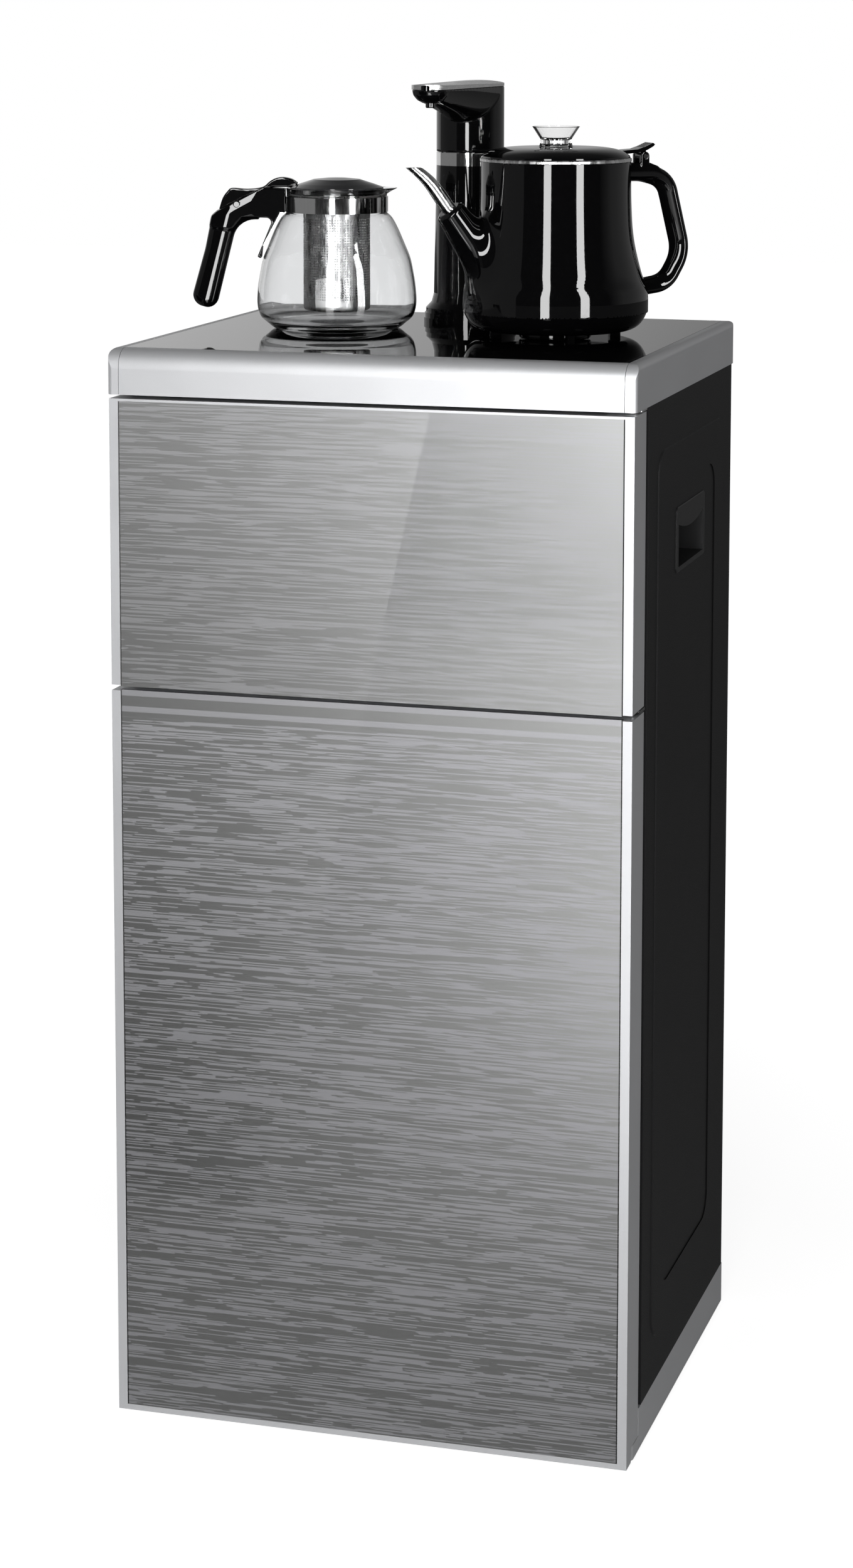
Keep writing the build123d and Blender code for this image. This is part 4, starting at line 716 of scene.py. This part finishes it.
def kettle_seam(finish):
    """The fine bead round the panel that carries the spout."""
    path = []
    edge = [(26.5, 141), (26.0, 120), (25.0, 95), (21.5, 75), (15.5, 60), (8, 51), (0, 47)]
    for width, z in curve_through(edge):
        radius = float(kettle_radius(z)) + 0.02
        angle = math.pi - math.asin(width / radius)
        path.append((radius * math.cos(angle), radius * math.sin(angle), z))
    mirrored = [(x, -y, z) for x, y, z in path[-2::-1]]
    points, faces = tube(path + mirrored, 0.42)
    piece("kettle_seam", points, faces, finish, "kettle", turn=KETTLE)


def lever_ribs(finish):
    """Five grip ribs across the lid's thumb lever."""
    bars = []
    half = 5.6
    for index in range(5):
        u = 77.2 + 1.7 * index
        z = 154.2 + 3.2 * (u - 77.5) / 7.6
        bars.append(tube([(u, -half, z), (u, half, z)], 0.55))
    points, faces = joined(bars)
    piece("lever_ribs", points, faces, finish, "kettle_lid", turn=KETTLE)


# Teapot pieces

TEAPOT = standing(-93.6, 29.3, GLASS_TOP, 16)
TEAPOT_CURVE = [(0, 50.6), (5.28, 58.95), (11.04, 64.8), (24, 67.3), (36.7, 66.4), (47.8, 64.6), (59.0, 62.2),
                (70.2, 57.8), (84.3, 51.7), (93.3, 46.8), (97.8, 43.6), (98.4, 43.6), (125, 43.6)]
LEVER_PIN = (-84, 104.8)
LEVER_HOLE = 2.3
NECK_OUTSIDE = 42
NECK_INSIDE = 40.6
SHOULDER = 24
SHOULDER_RISE = 74.5
SHOULDER_SWELL = 25.3
SHOULDER_CURVE = ((0.965, 0.17), (0.895, 0.32), (0.80, 0.47), (0.625, 0.62), (0.385, 0.81), (0.19, 0.93))


def grip_half(u, z):
    """Half the handle's width: a ridge along the grip, from which both sides fall away."""
    across = (u + 89.2) * 0.969 - (z - 107.6) * 0.248
    return 10 + 0.045 * across - 0.095 * (np.sqrt(across ** 2 + 2.0) - 1.4)


def teapot_grip(finish):
    """The moulded handle: a ridged grip, a bridge to the collar, a tail and the lever's slot."""
    grip = plate(rounded([(-66, 116.6, 0), (-100.6, 98.6, 4), (-105.5, 94.5, 9), (-110.9, 67.8, 60),
                          (-123.8, 21.5, 10), (-102.4, 15.2, 9), (-83.6, 91.4, 19), (-66, 91.8, 0)]),
                 6.2, grip_half)
    cheek = plate(rounded([(-40, 98, 0), (-40, 117.5, 1.5), (-61.8, 119, 6), (-100.6, 98.8, 3),
                           (-105.2, 94.8, 1), (-107, 86, 3), (-88, 84, 3), (-80, 94, 3), (-53.2, 93.2, 4),
                           (-66.8, 60.5, 1), (-63.4, 58.7, 1), (-62.3, 69.9, 2), (-47.6, 97.9, 0)]),
                  0.9, grip_half)
    curve = np.array(TEAPOT_CURVE)

    def field(u, v, z):
        from_pin = np.hypot(u - LEVER_PIN[0], z - LEVER_PIN[1])
        over = np.maximum(np.abs(u + 74) - 32, LEVER_PIN[1] - z)
        heel = np.maximum(from_pin - 16.3, u - LEVER_PIN[0])
        sweep = np.minimum(np.minimum(from_pin - 9.8, heel), over)
        slot = np.maximum(np.abs(v) - 5.4, sweep)
        whole = most(least(grip(u, v, z), cheek(u, v, z), 3), -slot, 0.6)
        whole = np.maximum(whole, LEVER_HOLE - from_pin)
        glass = np.interp(z, curve[:, 0], curve[:, 1])
        return np.maximum(whole, glass + 0.3 - np.hypot(u, v))

    points, faces, normals = grown(field, (-128, -12, 10), (-38, 12, 122), 0.8)
    piece("teapot_grip", points, faces, finish, "teapot", "teapot_handle", TEAPOT,
          normals=normals)


def thumb_lever(finish):
    """The lever from its plate over the handle to the lid, narrower below."""
    x, z = LEVER_PIN
    top = curve_through([(x - 15.2, z - 4.5), (x - 12.1, z + 4.9), (x - 8.0, z + 10.7), (x - 4.0, z + 13.4),
                         (x + 8.9, z + 12.6), (x + 21.4, z + 14.2), (x + 27.7, z + 19.0),
                         (x + 33.0, z + 21.7), (x + 39.3, z + 22.5), (x + 46.4, z + 21.0),
                         (x + 51.3, z + 17.9)], 4)
    under = [np.array(point)
             for point in ((x + 50, 119.0), (x + 30, 119.0), (x + 12, z + 2), (x, z - 9))]
    lever = plate(top + under, 1.2, lambda u, w: 5 - 0.085 * (z + 18 - w))

    def field(u, v, w):
        return np.maximum(lever(u, v, w), LEVER_HOLE - np.hypot(u - x, w - z))

    points, faces, normals = grown(field, (x - 19, -7, z - 13), (x + 55, 7, z + 26), 0.7)
    piece("thumb_lever", points, faces, finish, "teapot_lid", "teapot_lever", TEAPOT,
          normals=normals)


def teapot_jar(finish):
    """The blown glass: a thick foot with a raised middle, full belly and drawn-in neck."""
    outer = [(50.6, 0.0), (54.5, 1.6), (58.95, 5.28), (62.4, 8.0), (64.8, 11.04), (66.6, 16.5),
             (67.3, SHOULDER)]
    outer += [(NECK_OUTSIDE + SHOULDER_SWELL * w, SHOULDER + SHOULDER_RISE * h)
              for w, h in (*SHOULDER_CURVE, (0, 1))]
    outer += [(NECK_OUTSIDE, 104), (NECK_OUTSIDE, 111.4)]
    outer = curve_through(outer, 4)
    inner = [(NECK_INSIDE, 111.4), (NECK_INSIDE, 104), (NECK_INSIDE, 98.3)]
    inner += [(NECK_INSIDE + SHOULDER_SWELL * w, SHOULDER + SHOULDER_RISE * h)
              for w, h in reversed(SHOULDER_CURVE)]
    inner += [(65.9, SHOULDER), (65.1, 17.2), (63.0, 12.0), (58.0, 7.2), (50.0, 5.2), (40.0, 4.6), (20, 5.0),
              (0.5, 5.2)]
    inner = curve_through(inner, 4)
    under = curve_through([(0.5, 1.8), (20, 1.7), (34, 1.5), (42, 0.9), (46.5, 0.1)], 4)
    profile = [(max(r, 0.5), max(z, 0)) for r, z in under + outer + inner]
    points, faces = lathe(profile)
    piece("teapot_jar", points, faces, finish, "teapot", "teapot_glass", TEAPOT, crease=50)


def glass_lip(finish):
    """The glass rim above the steel collar, drawn out to a pouring lip."""
    def wobble(angle, z):
        around = (angle + math.pi) % (2 * math.pi) - math.pi
        rise = max(0, (z - 113.0) / 5.4)
        return 9.0 * math.exp(-(around / 0.25) ** 2) * rise ** 1.3

    profile = [(42.2, 111.5), (42.2, 113.5), (42.3, 115.5), (42.5, 117.2), (42.6, 118.0), (42.2, 118.4),
               (40.7, 118.4), (40.3, 118.0), (40.2, 117.2), (39.9, 115.5), (39.8, 113.5), (39.8, 111.5)]
    points, faces = lathe(profile, 180, wobble)
    piece("glass_lip", points, faces, finish, "teapot", "teapot_rim", TEAPOT, crease=50)


def lid_plug(finish):
    """The lid's dark plug, seen through the glass rim."""
    profile = [(36.2, 113.6), (38.6, 113.6), (39.0, 114.0), (39.0, 115.0), (38.6, 115.4), (38.6, 116.2),
               (39.0, 116.6), (39.0, 117.4), (36.2, 117.4)]
    points, faces = lathe(profile)
    piece("lid_plug", points, faces, finish, "teapot_lid", turn=TEAPOT, crease=50)


def basket(finish):
    """The infuser: a thin steel basket with rows of fine square holes all round."""
    columns = 164
    pitch = 1.07
    holed_rows = 65
    wall = 28
    holes_from = 24
    rows = [(0.4, 14.4), (12, 14.4), (24, 14.4), (26.3, 14.9), (27.6, 16.2), (wall, 18), (wall, 21),
            (wall, holes_from)]
    first = len(rows)
    rows += [(wall, holes_from + pitch * (index + 1)) for index in range(holed_rows)]
    rows += [(wall, 104), (wall, 108.6), (28.6, 110), (30.4, 110.8), (39.0, 111.6), (40.6, 112.3),
             (40.9, 113)]
    points = []
    faces = []
    for radius, z in rows:
        for column in range(columns):
            angle = 2 * math.pi * column / columns
            points.append((radius * math.cos(angle), radius * math.sin(angle), z))
    for row in range(len(rows) - 1):
        holed = first <= row < first + holed_rows - 1 and (row - first) % 2 == 0
        for column in range(columns):
            if holed and column % 2 == 0:
                continue
            after = (column + 1) % columns
            faces.append((row * columns + column, row * columns + after,
                          (row + 1) * columns + after, (row + 1) * columns + column))
    piece("infuser_basket", points, faces, finish, "teapot", "infuser", TEAPOT,
          thickness=0.4, crease=50)


# Faucet pieces

FAUCET_X = -0.8
FAUCET_Y = 115.3
NOSE_Y = -6.7
NOSE_KEY_Z = 1086.4


def nose_button(finish):
    """A glossy round key set into the front of the faucet's nose."""
    r = 7.0
    profile = [(r - 0.6, 0), (r, 0.5), (r, 4.2), (r - 0.3, 4.7), (r - 1.0, 4.9), (r - 3, 5.0)]
    points, faces = lathe(profile, 48, closed=False)
    spot = Matrix.Translation(Vector((FAUCET_X, NOSE_Y - 9.2, NOSE_KEY_Z)) * MM)
    piece("nose_button", points, faces, finish, "faucet_head", turn=spot)


def column_trim(finish):
    """Two fine upright beads on the column's front, which edge a slim strip."""
    beads = []
    for angle in (-0.06, 0.12):
        way = angle - math.pi / 2 - 0.2
        beads.append(tube([(FAUCET_X + r * math.cos(way), FAUCET_Y + r * math.sin(way), z)
                           for r, z in ((30.6, 921), (30.2, 950), (29.7, 985), (29.3, 1008))], 0.35))
    points, faces = joined(beads)
    piece("column_trim", points, faces, finish, "cabinet")


def smoothed(name, source, voxel, turns, finish, body):
    """A finer copy of a node, with its facets evened out and its edges slightly rounded."""
    mesh = nodes[source].data.copy()
    made = bpy.data.objects.new(name, mesh)
    bpy.context.scene.collection.objects.link(made)
    mesh.materials.clear()
    weld = made.modifiers.new("weld", "WELD")
    weld.merge_threshold = 0.01 * MM
    finer = made.modifiers.new("finer", "REMESH")
    finer.mode = "VOXEL"
    finer.voxel_size = voxel * MM
    finer.use_smooth_shade = True
    evened = made.modifiers.new("evened", "SMOOTH")
    evened.factor = 0.5
    evened.iterations = turns
    apply_modifiers(made)
    made.data.materials.append(finish)
    for face in made.data.polygons:
        face.use_smooth = True
    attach(made, body)
    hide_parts(source)


def add_pieces():
    """Every piece that isn't a carried-over node."""
    shine = gloss("black_shine", PIANO_BLACK, ior=PIANO_IOR)
    steel = polished_steel("bright_edge", tone=0.75, roughness=0.14)
    glass = clear("jar_glass", (0.90, 0.905, 0.91))
    kettle_body(shine)
    steel_spout(steel)
    teapot_jar(glass)
    glass_lip(glass)
    lid_plug(shine)
    smoothed("faucet_hood", "faucet_head", 0.8, 8, shine, "faucet_head")
    kettle_grip(shine)
    kettle_seam(shine)
    lever_ribs(shine)
    teapot_grip(shine)
    thumb_lever(shine)
    basket(polished_steel("basket_steel", tone=0.5, roughness=0.34))
    nose_button(shine)
    column_trim(shine)


# Studio

STUDIO_REACH = 12.0
STRIP_STRENGTH = 18.0
VEIL_Y = -0.69
FLOOR_CARD_Z = 0.03


def glow(name, strength):
    """A surface that only gives light."""
    made = bpy.data.materials.new(name)
    made.use_nodes = True
    tree = made.node_tree
    tree.nodes.clear()
    light = node(tree, "Emission", {"Color": (1, 1, 1, 1), "Strength": strength})
    node(tree, "OutputMaterial", {"Surface": light.outputs[0]})
    return made


def panel(name, corners, material):
    """A flat sheet through four corners, seen in reflections and through glass."""
    mesh = bpy.data.meshes.new(name)
    mesh.from_pydata([Vector(c) for c in corners], [], [(0, 1, 2, 3)])
    mesh.materials.append(material)
    made = bpy.data.objects.new(name, mesh)
    bpy.context.scene.collection.objects.link(made)
    made.visible_camera = False
    made.visible_diffuse = False
    made.visible_shadow = False


def upright_panel(name, middle, width, low, high, strength, aim=(0, 0)):
    """An upright sheet that faces aim, between two heights."""
    away = Vector((middle[0] - aim[0], middle[1] - aim[1], 0)).normalized()
    side = Vector((-away.y, away.x, 0)) * width / 2
    foot = Vector((middle[0], middle[1], low))
    head = Vector((middle[0], middle[1], high))
    panel(name, (foot - side, foot + side, head + side, head - side), glow(name, strength))


def area_light(name, place_at, aim, size, power):
    """A soft light that reflections don't see."""
    data = bpy.data.lights.new(name, "AREA")
    data.shape = "RECTANGLE"
    data.size, data.size_y = size
    data.energy = power
    made = bpy.data.objects.new(name, data)
    made.location = place_at
    made.rotation_euler = (Vector(aim) - Vector(place_at)).to_track_quat("-Z", "Y").to_euler()
    made.visible_glossy = False
    made.visible_camera = False
    bpy.context.scene.collection.objects.link(made)


def straight_view(tree):
    """1 for what the camera sees directly or through glass, 0 for what anything else reflects."""
    path = node(tree, "LightPath")
    unreflected = math_node(tree, "LESS_THAN", path.outputs["Glossy Depth"], 0.5)
    through = math_node(tree, "MULTIPLY", path.outputs["Is Transmission Ray"], unreflected)
    return math_node(tree, "MAXIMUM", path.outputs["Is Camera Ray"], through)


def make_world():
    """White where the camera looks. Reflections see a backdrop behind, pale on the left, else dusk."""
    world = bpy.data.worlds.new("studio")
    bpy.context.scene.world = world
    world.use_nodes = True
    tree = world.node_tree
    tree.nodes.clear()
    direction = node(tree, "TexCoord").outputs["Generated"]
    axes = node(tree, "SeparateXYZ", {0: direction})
    leftward = spread(tree, axes.outputs["X"], 1, 0.35, -0.36, -0.18)
    behind = spread(tree, axes.outputs["Y"], 0, 1, -0.1, 0.3)
    low = spread(tree, axes.outputs["Z"], 1, 0.15, 0.25, 0.7)
    pale = math_node(tree, "MULTIPLY", leftward, math_node(tree, "MULTIPLY", behind, low))
    level = spread(tree, pale, 0.03, 0.72)
    seen = straight_view(tree)
    dim = node(tree, "Background", {"Color": (1, 1, 1, 1), "Strength": level})
    white = node(tree, "Background", {"Color": (1, 1, 1, 1), "Strength": 1.0})
    both = node(tree, "MixShader", {0: seen, 1: dim.outputs[0], 2: white.outputs[0]})
    node(tree, "OutputWorld", {"Surface": both.outputs[0]})


def make_floor():
    """A white floor that keeps a soft shadow close to the object: its glow is painted a little dimmer there,
    a painted shade that lets the lamps' shadow show.
    """
    made = bpy.data.materials.new("floor")
    made.use_nodes = True
    tree = made.node_tree
    tree.nodes.clear()
    seen = straight_view(tree)
    away = node(tree, "VectorMath", {0: place(tree)}, operation="LENGTH").outputs["Value"]
    far = spread(tree, away, 0, 1, 0.5, 1.4)
    haze = noise(tree, 0.4)
    tone = mix_colours(tree, haze, (0.40,) * 3, (0.42,) * 3)
    flat = node(tree, "BsdfDiffuse", {"Color": tone})
    # Painted shade: the floor's glow falls from full far away to 0.88 close to the object.
    glow_with_painted_shade = spread(tree, far, 0.88, 1.0)
    light = node(tree, "Emission", {"Color": (1, 1, 1, 1), "Strength": spread(tree, seen, 0.05, glow_with_painted_shade)})
    both = node(tree, "AddShader", {0: flat.outputs[0], 1: light.outputs[0]})
    node(tree, "OutputMaterial", {"Surface": both.outputs[0]})
    reach = STUDIO_REACH
    mesh = bpy.data.meshes.new("floor")
    mesh.from_pydata([(-reach, -reach, 0), (reach, -reach, 0), (reach, reach, 0), (-reach, reach, 0)],
                     [], [(0, 1, 2, 3)])
    mesh.materials.append(made)
    floor = bpy.data.objects.new("floor", mesh)
    floor.location.z = cad_box[0].z - 0.2 * MM
    bpy.context.scene.collection.objects.link(floor)


def sharp_glow(name, low, high, strength):
    """Light for mirror-sharp reflections alone, none at the low height and full at the high one."""
    made = glow(name, 0.0)
    tree = made.node_tree
    height = node(tree, "SeparateXYZ", {0: place(tree)}).outputs["Z"]
    level = spread(tree, height, 0, strength, low, high)
    singular = node(tree, "LightPath").outputs["Is Singular Ray"]
    tree.links.new(math_node(tree, "MULTIPLY", level, singular), tree.nodes["Emission"].inputs["Strength"])
    return made


def make_studio():
    """World, floor, the cards that reflections see and the soft lights, all in metres."""
    make_world()
    make_floor()
    upright_panel("front_strip", (0.16, -1.87), 0.36, 0.7, 2.9, STRIP_STRENGTH)
    card = [(x, y, FLOOR_CARD_Z) for x, y in ((0.02, -1.9), (0.5, -1.9), (0.5, -1.1), (0.02, -1.1))]
    panel("floor_card", card, glow("floor_glow", 7))
    upright_panel("right_strip", (2.55, -1.95), 0.62, 0.6, 3.6, STRIP_STRENGTH)
    upright_panel("left_card", (-2.1, -0.6), 3.4, 0.0, 3.0, 0.21, aim=(-0.3, 0.2))
    veil = [(x, VEIL_Y, z) for x, z in ((-1.6, 0.0), (-0.27, 0.0), (-0.09, 0.80), (-1.6, 0.80))]
    panel("veil_card", veil, sharp_glow("veil", 0.05, 0.75, 2.3))
    area_light("front_key", (0.2, -3.6, 1.1), (0, 0, 0.5), (2.4, 1.6), 120)
    area_light("front_low", (0.9, -3.2, 0.5), (0, 0, 0.4), (1.2, 1.2), 30)
    area_light("right_fill", (3.3, -0.6, 1.8), (0.2, 0, 0.7), (1.2, 1.2), 5)
    bpy.context.scene.view_settings.view_transform = "Standard"


make_camera()
dress_nodes()
add_pieces()
make_studio()
